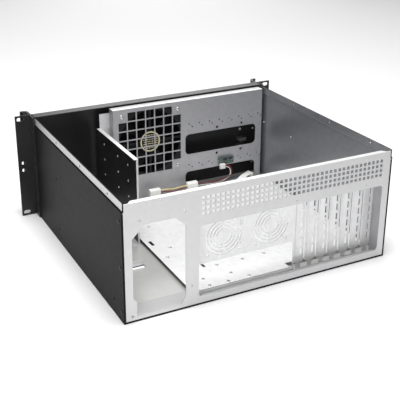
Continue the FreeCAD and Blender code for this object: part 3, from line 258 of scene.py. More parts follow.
# look: (maker, colour, what differs from the maker's own values)
LOOKS = {
    "black_coat": (powder_coat, (0.022, 0.022, 0.023), {}),
    "black_skin": (powder_coat, (0.011, 0.011, 0.012), dict(roughness=0.45, specular=0.05)),
    "black_sheet": (powder_coat, (0.032, 0.032, 0.033), {}),
    "zinc": (zinc_sheet, (0.78, 0.78, 0.785), {}),
    "zinc_face": (zinc_sheet, (0.62, 0.62, 0.625), dict(mottle=0.02)),
    # a lighter zinc as painted light, on up-facing top edges and on the tray
    "zinc_bright": (zinc_sheet, (0.88, 0.88, 0.88), dict(roughness=0.4, metallic=0.3)),
    "zinc_floor": (zinc_sheet, (0.74, 0.745, 0.725),
                   dict(roughness=0.34, metallic=0.6, mottle=0.02)),
    # a darker zinc as painted shade inside the case: on the fan wall and on the io panel's
    # return flange
    "zinc_wall": (zinc_sheet, (0.45, 0.45, 0.468), dict(roughness=0.5)),
    # a darker zinc as painted shade on the shell's bare inner walls
    "zinc_inner": (zinc_sheet, (0.31, 0.32, 0.335), dict(roughness=0.36, metallic=0.7)),
    "zinc_shade": (zinc_sheet, (0.10, 0.10, 0.105), dict(roughness=0.5)),
    "screw_zinc": (plated_metal, (0.72, 0.72, 0.70), {}),
    "solder": (plated_metal, (0.26, 0.27, 0.27), dict(roughness=0.5)),
    "screw_black": (plated_metal, (0.05, 0.05, 0.055), dict(roughness=0.4)),
    "anodised_black": (anodised, (0.035, 0.035, 0.038), {}),
    "fan_plastic": (moulded, (0.008, 0.008, 0.009), dict(specular=0.25)),
    "button_plastic": (moulded, (0.02, 0.02, 0.022), dict(roughness=0.4)),
    "nylon": (moulded, (0.80, 0.79, 0.76), dict(roughness=0.45)),
    "ring_paper": (moulded, (0.68, 0.62, 0.40), dict(roughness=0.7)),
    "board_green": (moulded, (0.075, 0.115, 0.10), dict(roughness=0.4, grain=0.00002)),
    "lens": (moulded, (0.55, 0.60, 0.56), dict(roughness=0.15, grain=0.00001)),
    "wire_yellow": (moulded, (0.76, 0.64, 0.24), dict(roughness=0.4)),
    "wire_red": (moulded, (0.20, 0.022, 0.03), dict(roughness=0.4)),
    "wire_black": (moulded, (0.015, 0.015, 0.016), dict(roughness=0.4)),
    "wire_white": (moulded, (0.75, 0.74, 0.7), dict(roughness=0.4)),
    "filter_foam": (foam, (0.012, 0.012, 0.012), {}),
    "ribbon_grey": (moulded, (0.74, 0.74, 0.72), dict(roughness=0.45)),
    "gold": (plated_metal, (0.75, 0.55, 0.22), dict(roughness=0.25)),
    "chip_black": (moulded, (0.02, 0.02, 0.022), dict(roughness=0.35)),
}
MATERIALS = {look: make(look, colour, **own) for look, (make, colour, own) in LOOKS.items()}

SLOT_LOOKS = {
    "black_painted_steel": "black_coat", "galvanised_steel": "zinc", "zinc_screw": "screw_zinc",
    "black_screw": "screw_black", "black_anodised": "anodised_black",
    "black_plastic": "fan_plastic", "white_plastic": "nylon", "cream_label": "ring_paper",
    "green_board": "board_green", "clear_lens": "lens", "port_steel": "screw_zinc",
    "yellow_wire": "wire_yellow", "red_wire": "wire_red", "black_wire": "wire_black",
    "white_wire": "wire_white", "grey_ribbon": "ribbon_grey", "filter_foam": "filter_foam",
}
NODE_LOOKS = {
    # the fan wall's zinc is darkened as painted shade, the tray's lightened as painted light
    "chassis_shell": "black_skin", "hdd_bracket": "black_sheet", "fan_wall": "zinc_wall",
    "motherboard_tray": "zinc_bright", "rear_panel": "zinc_face",
    "power_button": "button_plastic", "reset_button": "button_plastic",
}


def dress_nodes():
    for part in frame["record"]["subparts"]:
        node = frame["nodes"][part["node"]]
        look = NODE_LOOKS.get(part["node"], SLOT_LOOKS[part["material_slot"]])
        node.data.materials.clear()
        node.data.materials.append(MATERIALS[look])


def recolour(name, look, chosen):
    """Gives the faces of a CAD node that chosen(centre, normal) picks another material."""
    mesh = frame["nodes"][name].data
    mesh.materials.append(MATERIALS[look])
    slot = len(mesh.materials) - 1
    for face in mesh.polygons:
        if chosen(face.center, face.normal):
            face.material_index = slot


RIM_BAND = 10.5 * MM        # the stepped-in rim, above the step itself
SKIN_BAND = 1.2 * MM        # into the shell's sheet from outside, short of its inner face
FLOOR_BAND = 2.0 * MM       # over the floor sheet
TAB_BAND = 5 * FLOOR_BAND   # over the power supply's stop tab
INWARD = -0.0001            # a wall face's normal.x times its centre.x, when it looks inside
EDGE_BAND = 3.0 * MM        # along a cut or folded edge
WING_BAND = 17.0 * MM       # the fan wall's wing, and as much of the tray's side
TRAY_BAND = EDGE_BAND / 8   # the top of the tray, which keeps the tray's painted light


def paint_shell():
    """Bare zinc where the black coat ends: inside, on the floor and on the stepped-in rim; the
    inner walls' zinc is darkened as painted shade.
    """
    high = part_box("chassis_shell")[1]
    outer = high.x - SKIN_BAND

    def shaded_wall_inside(centre, normal):
        return (centre.z > FLOOR_BAND and abs(centre.x) < outer
                and normal.x * centre.x < INWARD)

    def floor_top(centre, normal):
        return (normal.z > FACING and centre.z < TAB_BAND
                and abs(centre.x) < outer - SKIN_BAND)

    def above_step(centre, normal):
        return (centre.z > high.z - RIM_BAND and abs(centre.x) > outer - 2 * SKIN_BAND
                and normal.x * centre.x > 0)

    def stop_tab(centre, normal):
        return centre.z > FLOOR_BAND and abs(centre.x) < outer - 4 * SKIN_BAND

    # painted shade: the bare inner walls take a darker zinc
    recolour("chassis_shell", "zinc_inner", shaded_wall_inside)
    recolour("chassis_shell", "zinc_floor", floor_top)
    recolour("chassis_shell", "zinc_face", above_step)
    recolour("chassis_shell", "zinc", stop_tab)


def paint_sheet():
    """Painted light on the sheet parts: a lighter zinc as painted highlight on top edges, a
    darker zinc as painted shade on the io panel's return and under the tray's side; the
    bracket's bare folds and the fan wall's wing take plain zinc.
    """
    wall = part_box("fan_wall")[1]
    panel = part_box("rear_panel")[1]
    inner_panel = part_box("rear_io_panel")[0]
    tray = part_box("motherboard_tray")[1]
    recolour("hdd_bracket", "zinc",
             lambda c, n: n.z > FACING or n.y > FACING or n.x < -FACING)
    # painted highlight along the fan wall's up-facing top edge
    recolour("fan_wall", "zinc_bright",
             lambda c, n: n.z > FACING and c.z > wall.z - EDGE_BAND)
    # the wing's rear face keeps plain zinc, outside the fan wall's painted shade
    recolour("fan_wall", "zinc", lambda c, n: n.y > FACING and c.x > wall.x - WING_BAND)
    # painted highlight on the rear panel's top flange
    recolour("rear_panel", "zinc_bright",
             lambda c, n: n.z > FACING and c.z > panel.z - EDGE_BAND)
    # painted shade on the io panel's return flange
    recolour("rear_io_panel", "zinc_wall",
             lambda c, n: n.x > FACING and c.x < inner_panel.x + EDGE_BAND)
    recolour("motherboard_tray", "zinc_shade",
             lambda c, n: (c.z < tray.z - TRAY_BAND and n.z < FACING
                           and c.x > tray.x - WING_BAND))


# ---------- rear panel ----------
FLANGE_TRIM = 7.5 * MM      # how much less deep the top flange is than in the solid
GAP_SHADOW_BAND = 1.4 * MM       # painted shadow of the gap between the panel and the shell
GAP_SHADOW_TOP = 13.0 * MM       # from the panel's top down to where the painted shadow at the sides starts
FACE_BAND = 1.0 * MM        # depth that counts as the panel's rear face


def add_rear_panel():
    """The rear panel, its top flange folded in less deep than in the solid, and a painted
    shadow along the gap to the shell it sits in."""
    node = frame["nodes"]["rear_panel"]
    low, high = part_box("rear_panel")
    mesh = node.data.copy()
    for vert in mesh.vertices:
        if vert.co.z > high.z - EDGE_BAND and vert.co.y < high.y - FLANGE_TRIM:
            vert.co.y += FLANGE_TRIM
    shape = bmesh.new()
    shape.from_mesh(mesh)
    for place, way in (((0, 0, low.z + GAP_SHADOW_BAND), (0, 0, 1)),
                       ((low.x + GAP_SHADOW_BAND, 0, 0), (1, 0, 0)),
                       ((high.x - GAP_SHADOW_BAND, 0, 0), (1, 0, 0))):
        everything = list(shape.verts) + list(shape.edges) + list(shape.faces)
        bmesh.ops.bisect_plane(shape, geom=everything, dist=WELD, plane_co=place, plane_no=way)
    # painted shadow: strips of the rear face along the sides and the foot take the shell's
    # black, for the shade in the gap to the shell
    mesh.materials.append(MATERIALS["black_skin"])
    gap_shadow = len(mesh.materials) - 1
    for face in shape.faces:
        middle = face.calc_center_median()
        at_side = abs(middle.x) > high.x - GAP_SHADOW_BAND and middle.z < high.z - GAP_SHADOW_TOP
        at_foot = middle.z < low.z + GAP_SHADOW_BAND
        at_rear = face.normal.y > FACING and middle.y > high.y - FACE_BAND
        if at_rear and (at_side or at_foot):
            face.material_index = gap_shadow
    shape.to_mesh(mesh)
    shape.free()
    panel = bpy.data.objects.new("rear_panel_sheet", mesh)
    bpy.context.scene.collection.objects.link(panel)
    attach(panel, "case")
    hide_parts("rear_panel")


# ---------- forms ----------
def in_order(items):
    """Each item once, in the order they come in."""
    return list(dict.fromkeys(items))


def corner_places(element):
    """Where a vertex is, or where the corners of an edge or a face are."""
    return sorted(tuple(vert.co) for vert in getattr(element, "verts", [element]))


def order_by_place(shape):
    """Bevels leave faces in another order each run; this makes every run's mesh the same."""
    for elements in (shape.verts, shape.edges, shape.faces):
        for rank, element in enumerate(sorted(elements, key=corner_places)):
            element.index = rank
        elements.sort()


def finish_piece(name, shape, look, replaced=(), sharp=35.0):
    """Makes a piece on the case from a shape; edges over sharp degrees stay crisp."""
    mesh = bpy.data.meshes.new(name)
    bmesh.ops.recalc_face_normals(shape, faces=shape.faces)
    order_by_place(shape)
    shape.to_mesh(mesh)
    shape.free()
    for face in mesh.polygons:
        face.use_smooth = True
    mesh.set_sharp_from_angle(angle=math.radians(sharp))
    mesh.materials.append(MATERIALS[look])
    piece = bpy.data.objects.new(name, mesh)
    bpy.context.scene.collection.objects.link(piece)
    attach(piece, "case")
    if replaced:
        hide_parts(*replaced)
    return piece


def lathe(shape, profile, place, steps=24, lobes=0, swell=0.0):
    """Adds a closed turned form; profile is (radius, height) in mm, from the axis and back."""
    rings = []
    for radius, height in profile:
        if radius == 0:
            rings.append([shape.verts.new(place @ Vector((0, 0, height * MM)))])
            continue
        ring = []
        for i in range(steps):
            turn = 2 * math.pi * i / steps
            reach = radius * MM * (1 + swell * math.cos(lobes * turn))
            ring.append(shape.verts.new(
                place @ Vector((reach * math.cos(turn), reach * math.sin(turn), height * MM))))
        rings.append(ring)
    for lower, upper in zip(rings, rings[1:]):
        for i in range(steps):
            corners = [lower[i % len(lower)], lower[(i + 1) % len(lower)],
                       upper[(i + 1) % len(upper)], upper[i % len(upper)]]
            corners = in_order(corners)
            if len(corners) > 2:
                shape.faces.new(corners)
    if profile[0][0] and profile[0] == profile[-1]:
        bmesh.ops.remove_doubles(shape, verts=rings[0] + rings[-1], dist=WELD)


def block(shape, low, high, bevel=0.0):
    """Adds a box between two corners, its edges eased by bevel (metres)."""
    middle = (Vector(low) + Vector(high)) / 2
    span = Vector(high) - Vector(low)
    cube = bmesh.ops.create_cube(shape, size=1.0, matrix=Matrix.Translation(middle)
                                 @ Matrix.Diagonal((*span, 1.0)))
    if bevel:
        edges = in_order(edge for vert in cube["verts"] for edge in vert.link_edges)
        bmesh.ops.bevel(shape, geom=edges, offset=bevel, segments=2, profile=0.5,
                        affect="EDGES")


def islands(node):
    """The lowest and highest corner of each separate solid in a CAD node."""
    shape = bmesh.new()
    shape.from_mesh(frame["nodes"][node].data)
    bmesh.ops.remove_doubles(shape, verts=shape.verts, dist=CAD_WELD)
    seen = set()
    found = []
    for start in shape.verts:
        if start in seen:
            continue
        seen.add(start)
        queue = [start]
        for vert in queue:
            for edge in vert.link_edges:
                other = edge.other_vert(vert)
                if other not in seen:
                    seen.add(other)
                    queue.append(other)
        found.append(tuple(Vector([pick(vert.co[i] for vert in queue) for i in range(3)])
                           for pick in (min, max)))
    shape.free()
    return found


# ---------- fasteners ----------
# Head outlines from the rim in: (share of the head's radius, share of its height).
PAN = ((1, 0), (1, 0.25), (0.93, 0.55), (0.75, 0.8), (0.45, 0.95), (0, 1))
FLAT = ((1, 0), (1, 0.7), (0.92, 1), (0, 1))
# A blind rivet's low dome goes down again into the hollow that its pin left.
RIVET = ((1, 0), (1, 0.3), (0.85, 0.7), (0.6, 0.95), (0.42, 1), (0.34, 0.9), (0.3, 0.15),
         (0, 0.15))
SCREW_TIP = 0.75            # radius of a screw's tip over that of its shank
SCREW_LEAD = 0.4            # mm from the tip to the full shank
# A cross recess, in shares of the head's radius and height.
RECESS_LENGTH = 1.15
RECESS_WIDTH = 0.27
RECESS_TAPER = 0.45
RECESS_TOP = 1.25
RECESS_FOOT = 0.35
FIRST_TURN = 0.7            # radians; each screw was driven home at another angle
NEXT_TURN = 1.1

AXES = {"x": Vector((1, 0, 0)), "y": Vector((0, 1, 0)), "z": Vector((0, 0, 1))}
# node: (outward axis, its sign, outline, head radius, head height, shank radius, look, slot)
FASTENERS = {
    "handle_screws": ("y", -1, PAN, 3.4, 2.0, 1.8, "screw_zinc", "zinc_screw"),
    "ear_screws_right": ("x", 1, FLAT, 3.06, 1.0, 1.5, "screw_black", "black_screw"),
    "ear_screws_left": ("x", -1, FLAT, 3.06, 1.0, 1.5, "screw_black", "black_screw"),
    "rear_rivets_right": ("x", 1, RIVET, 3.0, 1.0, 1.6, "screw_black", "black_screw"),
    "rear_rivets_left": ("x", -1, RIVET, 3.0, 1.0, 1.6, "screw_black", "black_screw"),
    "fan_screws": ("y", 1, PAN, 3.4, 2.0, 1.9, "screw_zinc", "zinc_screw"),
    "bracket_rivets": ("z", 1, RIVET, 3.0, 1.0, 1.6, "screw_zinc", "zinc_screw"),
    "slot_cover_screws": ("z", 1, PAN, 3.4, 2.0, 1.3, "screw_zinc", "zinc_screw"),
}
NUT_RING = [(1.5, 0.0), (1.5, 0.6), (1.75, 0.8), (2.3, 0.8), (2.55, 0.65), (2.55, 0.0),
            (1.5, 0.0)]


def fastener_profile(outline, radius, height, shank, reach):
    """A head on its shank, from the shank's tip up; the head's foot is at 0."""
    tip = [(SCREW_TIP * shank, -reach), (shank, -reach + SCREW_LEAD)]
    if outline is RIVET:
        tip = [(shank, -reach)]
    head = [(share * radius, rise * height) for share, rise in outline]
    return [(0.0, -reach)] + tip + [(shank, 0.0)] + head


def recess_wedge(radius, height, turned):
    """One of the two crossing wedges that a recess is cut with, narrower at its foot."""
    shape = bmesh.new()
    cube = bmesh.ops.create_cube(shape, size=1.0)
    for vert in cube["verts"]:
        wide = 1.0 if vert.co.z > 0 else RECESS_TAPER
        along = vert.co.x * RECESS_LENGTH * radius * wide
        across = vert.co.y * RECESS_WIDTH * radius * wide
        level = RECESS_TOP * height if vert.co.z > 0 else RECESS_FOOT * height
        flat = (along, across) if turned else (-across, along)
        vert.co = Vector((*flat, level)) * MM
    bmesh.ops.recalc_face_normals(shape, faces=shape.faces)
    mesh = bpy.data.meshes.new("wedge")
    shape.to_mesh(mesh)
    shape.free()
    wedge = bpy.data.objects.new("wedge", mesh)
    bpy.context.scene.collection.objects.link(wedge)
    return wedge


def turned_mesh(profile, recess=None):
    """The mesh of one fastener; recess is the (radius, height) of a head with a cross."""
    shape = bmesh.new()
    lathe(shape, profile, Matrix.Identity(4))
    bmesh.ops.recalc_face_normals(shape, faces=shape.faces)
    mesh = bpy.data.meshes.new("turned")
    shape.to_mesh(mesh)
    shape.free()
    if recess is None:
        return mesh
    body = bpy.data.objects.new("turned", mesh)
    bpy.context.scene.collection.objects.link(body)
    for turned in (False, True):
        wedge = recess_wedge(*recess, turned)
        cut = body.modifiers.new("recess", "BOOLEAN")
        cut.operation = "DIFFERENCE"
        cut.solver = "EXACT"
        cut.object = wedge
        bpy.context.view_layer.update()
        graph = bpy.context.evaluated_depsgraph_get()
        cut_mesh = bpy.data.meshes.new_from_object(body.evaluated_get(graph))
        body.modifiers.clear()
        body.data = cut_mesh
        bpy.data.objects.remove(wedge)
    mesh = body.data
    bpy.data.objects.remove(body)
    return mesh


def add_fasteners():
    for node, (axis, sign, outline, radius, height, shank, look, slot) in FASTENERS.items():
        out = AXES[axis] * sign
        solids = islands(node)
        low, high = solids[0]
        reach = abs((high - low).dot(out)) / MM - height
        recess = None if outline is RIVET else (radius, height)
        mesh = turned_mesh(fastener_profile(outline, radius, height, shank, reach), recess)
        shape = bmesh.new()
        turn = out.to_track_quat("Z", "Y").to_matrix().to_4x4()
        for count, (low, high) in enumerate(solids):
            centre = (low + high) / 2
            foot = centre + out * (abs((high - low).dot(out)) / 2 - height * MM)
            spin = Matrix.Rotation(FIRST_TURN + NEXT_TURN * count, 4, "Z")
            part = bmesh.new()
            part.from_mesh(mesh)
            bmesh.ops.transform(part, matrix=Matrix.Translation(foot) @ turn @ spin,
                                verts=part.verts)
            placed = bpy.data.meshes.new("placed")
            part.to_mesh(placed)
            part.free()
            shape.from_mesh(placed)
            bpy.data.meshes.remove(placed)
        finish_piece(node + "_heads", shape, look, [node])


def add_press_nuts():
    """Rings with a finely lobed rim, pressed into the tray."""
    shape = bmesh.new()
    for low, high in islands("tray_press_nuts"):
        middle = (low + high) / 2
        lathe(shape, NUT_RING, Matrix.Translation((middle.x, middle.y, low.z)),
              steps=36, lobes=12, swell=0.015)
    finish_piece("tray_press_nut_rings", shape, "screw_zinc", ["tray_press_nuts"])


# ---------- plugs and board ----------
EASE = 0.15 * MM            # the bevel on small moulded details
PLUG_EASE = 0.35 * MM
PLUG_CORNER = 2.0 * MM      # the two corners that key a plug
PLUG_WALL = 1.1 * MM
PLUG_DEPTH = 8.0 * MM
SEAM_HALF = 0.25 * MM       # the seam of the closed plug is twice this wide
SEAM_LAP = 0.5 * MM         # its inner block reaches this far to each side
SEAM_SINK = 0.8 * MM        # and lies this deep under the plug's faces
SOCKETS = 4
SOCKET = [(0.75, 0.0), (0.75, 6.5), (1.35, 6.5), (1.5, 6.2), (1.5, 0.0), (0.75, 0.0)]
SOCKET_START = 8.2 * MM     # from the mouth in
SOCKET_DROP = 0.3 * MM      # off the plug's middle
GRIP_SINK = 0.1 * MM
GRIP_WIDTH = 0.8 * MM


def plug_half(shape, ring, x0, x1, mouth):
    """One chamfered length of a plug; a mouth is inset and sunk at its x1 end."""
    verts = [[shape.verts.new((x, y, z)) for y, z in ring] for x in (x0, x1)]
    faces = [shape.faces.new(verts[0]), shape.faces.new(verts[1])]
    for i in range(len(ring)):
        after = (i + 1) % len(ring)
        faces.append(shape.faces.new((verts[0][i], verts[0][after],
                                      verts[1][after], verts[1][i])))
    bmesh.ops.recalc_face_normals(shape, faces=faces)
    edges = in_order(edge for face in faces for edge in face.edges)
    if mouth:
        end = faces[1]
        bmesh.ops.inset_region(shape, faces=[end], thickness=PLUG_WALL)
        deep = bmesh.ops.extrude_face_region(shape, geom=[end])
        moved = [item for item in deep["geom"] if isinstance(item, bmesh.types.BMVert)]
        bmesh.ops.translate(shape, verts=moved, vec=(-PLUG_DEPTH, 0, 0))
        bmesh.ops.delete(shape, geom=[end], context="FACES_ONLY")
    bmesh.ops.bevel(shape, geom=[edge for edge in edges if edge.is_valid], offset=PLUG_EASE,
                    segments=2, profile=0.5, affect="EDGES")


def plug_sockets(shape, low, high):
    first, pitch = 2.9, 4.2
    for k in range(SOCKETS):
        level = low.z + (first + pitch * k) * MM
        middle = (low.y + high.y) / 2 - SOCKET_DROP
        lay = Matrix.Translation((high.x - SOCKET_START, middle, level)) @ Matrix.Rotation(
            math.pi / 2, 4, "Y")
        lathe(shape, SOCKET, lay, 14)


def plug_grips(shape, low, high):
    """Three ribs over the rear and the top of a plug."""
    first, pitch = 3.0, 1.6
    rear_inset, top_start, top_inset = 3.4 * MM, 1.4 * MM, 3.4 * MM
    rear_rise, top_rise = 0.35 * MM, 0.3 * MM
    for k in range(3):
        at = low.x + (first + pitch * k) * MM
        block(shape, (at, high.y - GRIP_SINK, low.z + rear_inset),
              (at + GRIP_WIDTH, high.y + rear_rise, high.z - rear_inset), EASE)
        block(shape, (at, low.y + top_start, high.z - GRIP_SINK),
              (at + GRIP_WIDTH, high.y - top_inset, high.z + top_rise), EASE)


def plug_housing(name, node, mouth):
    """A drive power plug: two chamfered corners, grip ribs, and sockets where it is open."""
    low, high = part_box(node)
    ring = [(low.y, low.z), (high.y - PLUG_CORNER, low.z), (high.y, low.z + PLUG_CORNER),
            (high.y, high.z - PLUG_CORNER), (high.y - PLUG_CORNER, high.z), (low.y, high.z)]
    shape = bmesh.new()
    if mouth:
        plug_half(shape, ring, low.x, high.x, mouth)
        plug_sockets(shape, low, high)
    else:
        seam = (low.x + high.x) / 2
        block(shape, (seam - SEAM_LAP, low.y + SEAM_SINK, low.z + SEAM_SINK),
              (seam + SEAM_LAP, high.y - SEAM_SINK, high.z - 2 * SEAM_SINK))
        plug_half(shape, ring, low.x, seam - SEAM_HALF, mouth)
        plug_half(shape, ring, seam + SEAM_HALF, high.x, mouth)
    plug_grips(shape, low, high)
    return finish_piece(name, shape, "nylon", [node])


def add_plugs():
    plug_housing("near_plug_housing", "drive_plug_near", True)
    plug_housing("far_plug_housing", "drive_plug_far", False)


def add_header():
    """The board's header: a collar round each lead and four ribs on its rear."""
    low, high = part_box("board_header")
    shape = bmesh.new()
    block(shape, low, high, 0.5 * MM)
    collar, collar_pitch, collar_half = 2.4, 3.1, 1.1 * MM
    for k in range(2):
        level = low.z + (collar + collar_pitch * k) * MM
        block(shape, (low.x - 0.25 * MM, low.y + 1.8 * MM, level - collar_half),
              (low.x + 0.6 * MM, high.y - 1.2 * MM, level + collar_half), 0.2 * MM)
    rib, rib_pitch, rib_width, rib_inset = 2.2, 1.9, 0.7 * MM, 1.2 * MM
    for k in range(4):
        at = low.x + (rib + rib_pitch * k) * MM
        block(shape, (at, high.y - 0.2 * MM, low.z + rib_inset),
              (at + rib_width, high.y + 0.3 * MM, high.z - rib_inset), EASE)
    finish_piece("board_header_housing", shape, "nylon", ["board_header"])


CHIPS = ((-143.4, 49.2, 4.6, 4.0), (-133.5, 48.6, 7.0, 4.4))    # x, z, width, height in mm
CHIP_LEGS = 4               # on each long side
CHIP_GAP = 0.15 * MM
CHIP_TOP = 1.5 * MM
LEG_INSET = 0.5             # mm
LEG_ROOM = 1.4              # mm of a chip's width that the legs' spacing leaves out
LEG_WIDTH = 0.4 * MM
LEG_RISE = 0.35 * MM
LEG_REACH = 1.0 * MM
BOARD_SCREW = [(0.0, 0.0), (1.9, 0.0), (1.9, 0.4), (1.2, 0.8), (0.0, 0.85)]


def add_board_parts():
    """Two small chips with legs, a row of chip resistors and the board's mounting screws."""
    low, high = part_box("wiring_board")
    face = high.y
    chips = bmesh.new()
    pins = bmesh.new()
    for x, z, wide, tall in CHIPS:
        left = x * MM
        foot = z * MM
        block(chips, (left, face + CHIP_GAP, foot),
              (left + wide * MM, face + CHIP_TOP, foot + tall * MM), EASE)
        for k in range(CHIP_LEGS):
            at = left + (LEG_INSET + k * (wide - LEG_ROOM) / (CHIP_LEGS - 1)) * MM
            for edge, way in ((foot, -1), (foot + tall * MM, 1)):
                tip = edge + way * LEG_REACH
                block(pins, (at, face, min(edge, tip)),
                      (at + LEG_WIDTH, face + LEG_RISE, max(edge, tip)))
    first, pitch = 15.0, 2.4
    for k in range(4):
        left = low.x + (first + pitch * k) * MM
        block(chips, (left, face, low.z + 1.4 * MM),
              (left + 0.9 * MM, face + 0.6 * MM, low.z + 3.2 * MM), 0.1 * MM)
        block(pins, (left - 0.05 * MM, face, low.z + 1.0 * MM),
              (left + 0.95 * MM, face + 0.5 * MM, low.z + 1.6 * MM))
    finish_piece("board_chips", chips, "chip_black")
    for low_post, high_post in islands("board_spacers"):
        centre = (low_post + high_post) / 2
        lay = Matrix.Translation((centre.x, face, centre.z)) @ Matrix.Rotation(
            -math.pi / 2, 4, "X")
        lathe(pins, BOARD_SCREW, lay, 16)
    finish_piece("board_pins", pins, "solder")


# ---------- ribbon ----------
RIBBON_ENDS = ((-138, 62, 8.8), (-188, 32, 8.8))    # the case's own millimetres
RIBBON_LANES = 10
RIBBON_PITCH = 1.2 * MM
RIBBON_STEPS = 24
RIBBON_LIFT = 6.5 * MM
RIBBON_ARCH = 0.75 * math.pi    # the lift is this much of a sine from end to end
RIDGE_STEPS = 4
RIDGE_FOOT = 0.35           # mm, half the thickness between two conductors
RIDGE_RISE = 0.3            # mm more over a conductor
RIBBON_SHARP = 80.0


def add_ribbon():
    """The flat lead: ridged conductors side by side, lifting a little between its two ends."""
    start, stop = [spot(*place) for place in RIBBON_ENDS]
    across = Vector((-(stop - start).y, (stop - start).x, 0)).normalized()
    shape = bmesh.new()
    profile = []
    for k in range(RIBBON_LANES):
        for step in range(RIDGE_STEPS):
            turn = math.pi * step / RIDGE_STEPS
            profile.append(((k - RIBBON_LANES / 2 + 0.5 - 0.5 * math.cos(turn)) * RIBBON_PITCH,
                            (RIDGE_FOOT + RIDGE_RISE * math.sin(turn)) * MM))
    profile.append((RIBBON_LANES / 2 * RIBBON_PITCH, RIDGE_FOOT * MM))
    outline = profile + [(side, -rise) for side, rise in reversed(profile)]
    rows = []
    for i in range(RIBBON_STEPS + 1):
        along = i / RIBBON_STEPS
        lift = RIBBON_LIFT * math.sin(RIBBON_ARCH * along)
        centre = start.lerp(stop, along) + Vector((0, 0, lift))
        rows.append([shape.verts.new(centre + across * side + Vector((0, 0, rise)))
                     for side, rise in outline])
    for row, after in zip(rows, rows[1:]):
        for k in range(len(outline)):
            nxt = (k + 1) % len(outline)
            shape.faces.new((row[k], row[nxt], after[nxt], after[k]))
    shape.faces.new(rows[0])
    shape.faces.new(list(reversed(rows[-1])))
    finish_piece("ribbon_lead", shape, "ribbon_grey", ["ribbon_cable"],
                 RIBBON_SHARP)


def add_ribbon_clamps():
    """The ribbon's two connectors, with five ribs over the top of each."""
    shape = bmesh.new()
    rib, pitch, rib_width, inset = 1.6, 2.6, 1.2 * MM, 0.8 * MM
    for low, high in islands("ribbon_clamps"):
        block(shape, low, high, 0.5 * MM)
        for k in range(5):
            at = low.y + (rib + pitch * k) * MM
            block(shape, (low.x + inset, at, high.z - 0.2 * MM),
                  (high.x - inset, at + rib_width, high.z + 0.3 * MM), EASE)
    finish_piece("ribbon_connectors", shape, "nylon", ["ribbon_clamps"])


# ---------- hub label ----------
LABEL_RING = [(16.0, -0.4), (16.0, -0.05), (16.2, 0.0), (18.3, 0.0), (18.5, -0.05),
              (18.5, -0.4), (16.0, -0.4)]
LABEL_SEED = 4
LABEL_ROWS = 7
# In mm: the circle that the bars fill, their rows, and the bars and the gaps between them.
LABEL_RADIUS = 14.2
LABEL_PITCH = 3.9
BAR_HALF = 0.6
BAR_SHORTEST, BAR_LONGEST = 1.2, 3.6
GAP_SHORTEST, GAP_LONGEST = 0.7, 1.6
BAR_BACK = 0.4 * MM
BAR_FRONT = 0.05 * MM


def add_hub_label():
    """The ring on the fan's motor plate, and rows of plain printed bars inside it."""
    low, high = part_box("fan_hub_ring")
    centre = (low + high) / 2
    lay = Matrix.Translation((centre.x, high.y, centre.z)) @ Matrix.Rotation(
        -math.pi / 2, 4, "X")
    shape = bmesh.new()
    lathe(shape, LABEL_RING, lay, 64)
    draw = random.Random(LABEL_SEED)
    for row in range(LABEL_ROWS):
        level = (row - LABEL_ROWS // 2) * LABEL_PITCH
        half = math.sqrt(LABEL_RADIUS ** 2 - level ** 2)
        left = -half
        while left < half - BAR_SHORTEST:
            wide = min(draw.uniform(BAR_SHORTEST, BAR_LONGEST), half - left)
            block(shape, (centre.x + left * MM, high.y - BAR_BACK,
                          centre.z + (level - BAR_HALF) * MM),
                  (centre.x + (left + wide) * MM, high.y - BAR_FRONT,
                   centre.z + (level + BAR_HALF) * MM))
            left += wide + draw.uniform(GAP_SHORTEST, GAP_LONGEST)
    finish_piece("fan_hub_label", shape, "ring_paper", ["fan_hub_ring"])


# ---------- slot covers and USB ----------
COVER_SKIN = 1.0 * MM       # the covers' sheet
RIB_INSET = 2.3 * MM
RIB_HALF = 0.55 * MM
RIB_SINK = 0.2 * MM
RIB_RISE = 0.7 * MM
RIB_FOOT = 12 * MM
RIB_TOP = 9 * MM
RIB_EASE = 0.3 * MM


def add_cover_ribs():
    """The stiffening ribs pressed into both long sides of each slot cover."""
    shape = bmesh.new()
    for k in range(1, 8):
        low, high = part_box("slot_cover_%d" % k)
        face = low.y + COVER_SKIN
        for centre in (low.x + RIB_INSET, high.x - RIB_INSET):
            block(shape, (centre - RIB_HALF, face - RIB_SINK, low.z + RIB_FOOT),
                  (centre + RIB_HALF, face + RIB_RISE, high.z - RIB_TOP), RIB_EASE)
    finish_piece("slot_cover_ribs", shape, "zinc")


def add_usb_tongues():
    """The tongue inside each port, with four contacts under it."""
    tongues = bmesh.new()
    contacts = bmesh.new()
    first, pitch, contact_width = 2.9, 2.2, 1.0 * MM
    side, end, thick = 1.4 * MM, 1.0 * MM, 1.6 * MM
    for low, high in islands("usb_ports"):
        shelf = low.z + 3.4 * MM
        block(tongues, (low.x + side, low.y + end, shelf),
              (high.x - side, high.y - end, shelf + thick), EASE)
        for k in range(4):
            at = low.x + (first + pitch * k) * MM
            block(contacts, (at, low.y + 1.4 * MM, shelf - 0.15 * MM),
                  (at + contact_width, low.y + 8.0 * MM, shelf + 0.05 * MM))
    finish_piece("usb_tongues", tongues, "nylon")
    finish_piece("usb_contacts", contacts, "gold")


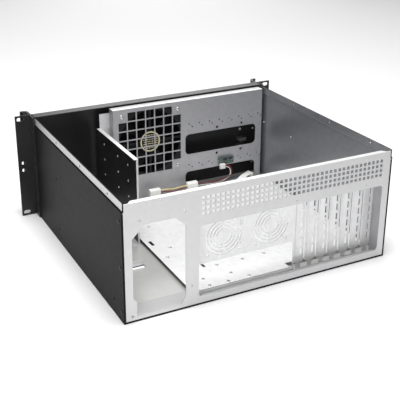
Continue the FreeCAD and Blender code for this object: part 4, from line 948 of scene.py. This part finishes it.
def add_details():
    add_rear_panel()
    add_fasteners()
    add_press_nuts()
    add_header()
    add_board_parts()
    add_ribbon()
    add_ribbon_clamps()
    add_hub_label()
    add_cover_ribs()
    add_usb_tongues()


# ---------- stage ----------
FLOOR_HALF = 6.0
FLOOR_DROP = -0.0002        # just under the case, so that the two don't share a plane
SKY_STRENGTH = 0.17


def add_floor():
    mesh = bpy.data.meshes.new("floor")
    shape = bmesh.new()
    bmesh.ops.create_grid(shape, x_segments=1, y_segments=1, size=FLOOR_HALF)
    shape.to_mesh(mesh)
    shape.free()
    floor = bpy.data.objects.new("floor", mesh)
    bpy.context.scene.collection.objects.link(floor)
    floor.location.z = FLOOR_DROP
    surface = Surface("floor_white", (0.93, 0.93, 0.93), roughness=0.9, specular=0.1)
    mesh.materials.append(surface.vary_roughness(scale=3.0, amount=0.03).material)


def add_area(name, at, aim, size, power):
    data = bpy.data.lights.new(name, "AREA")
    data.shape = "DISK"
    data.size = size
    data.energy = power
    light = bpy.data.objects.new(name, data)
    light.location = at
    beam = Vector(aim) - Vector(at)
    light.rotation_mode = "QUATERNION"
    light.rotation_quaternion = beam.to_track_quat("-Z", "Y")
    bpy.context.scene.collection.objects.link(light)


def add_world():
    bpy.context.scene.view_settings.view_transform = "Standard"
    world = bpy.data.worlds.new("studio")
    bpy.context.scene.world = world
    world.use_nodes = True
    back = world.node_tree.nodes["Background"]
    back.inputs["Color"].default_value = (1.0, 1.0, 1.0, 1.0)
    back.inputs["Strength"].default_value = SKY_STRENGTH


def add_lights():
    add_area("key", at=(0.85, 1.0, 0.5), aim=(0, 0, 0.05), size=0.6, power=5)
    add_area("top", at=(0.1, 0.1, 2.4), aim=(0, 0, 0), size=1.6, power=72)
    add_area("rim", at=(-0.94, -2.3, 0.95), aim=(0, 0, 0.1), size=1.2, power=9)


def build():
    add_camera()
    add_plugs()
    add_wires()
    add_world()
    add_lights()
    add_floor()
    dress_nodes()
    paint_shell()
    paint_sheet()
    add_details()


build()
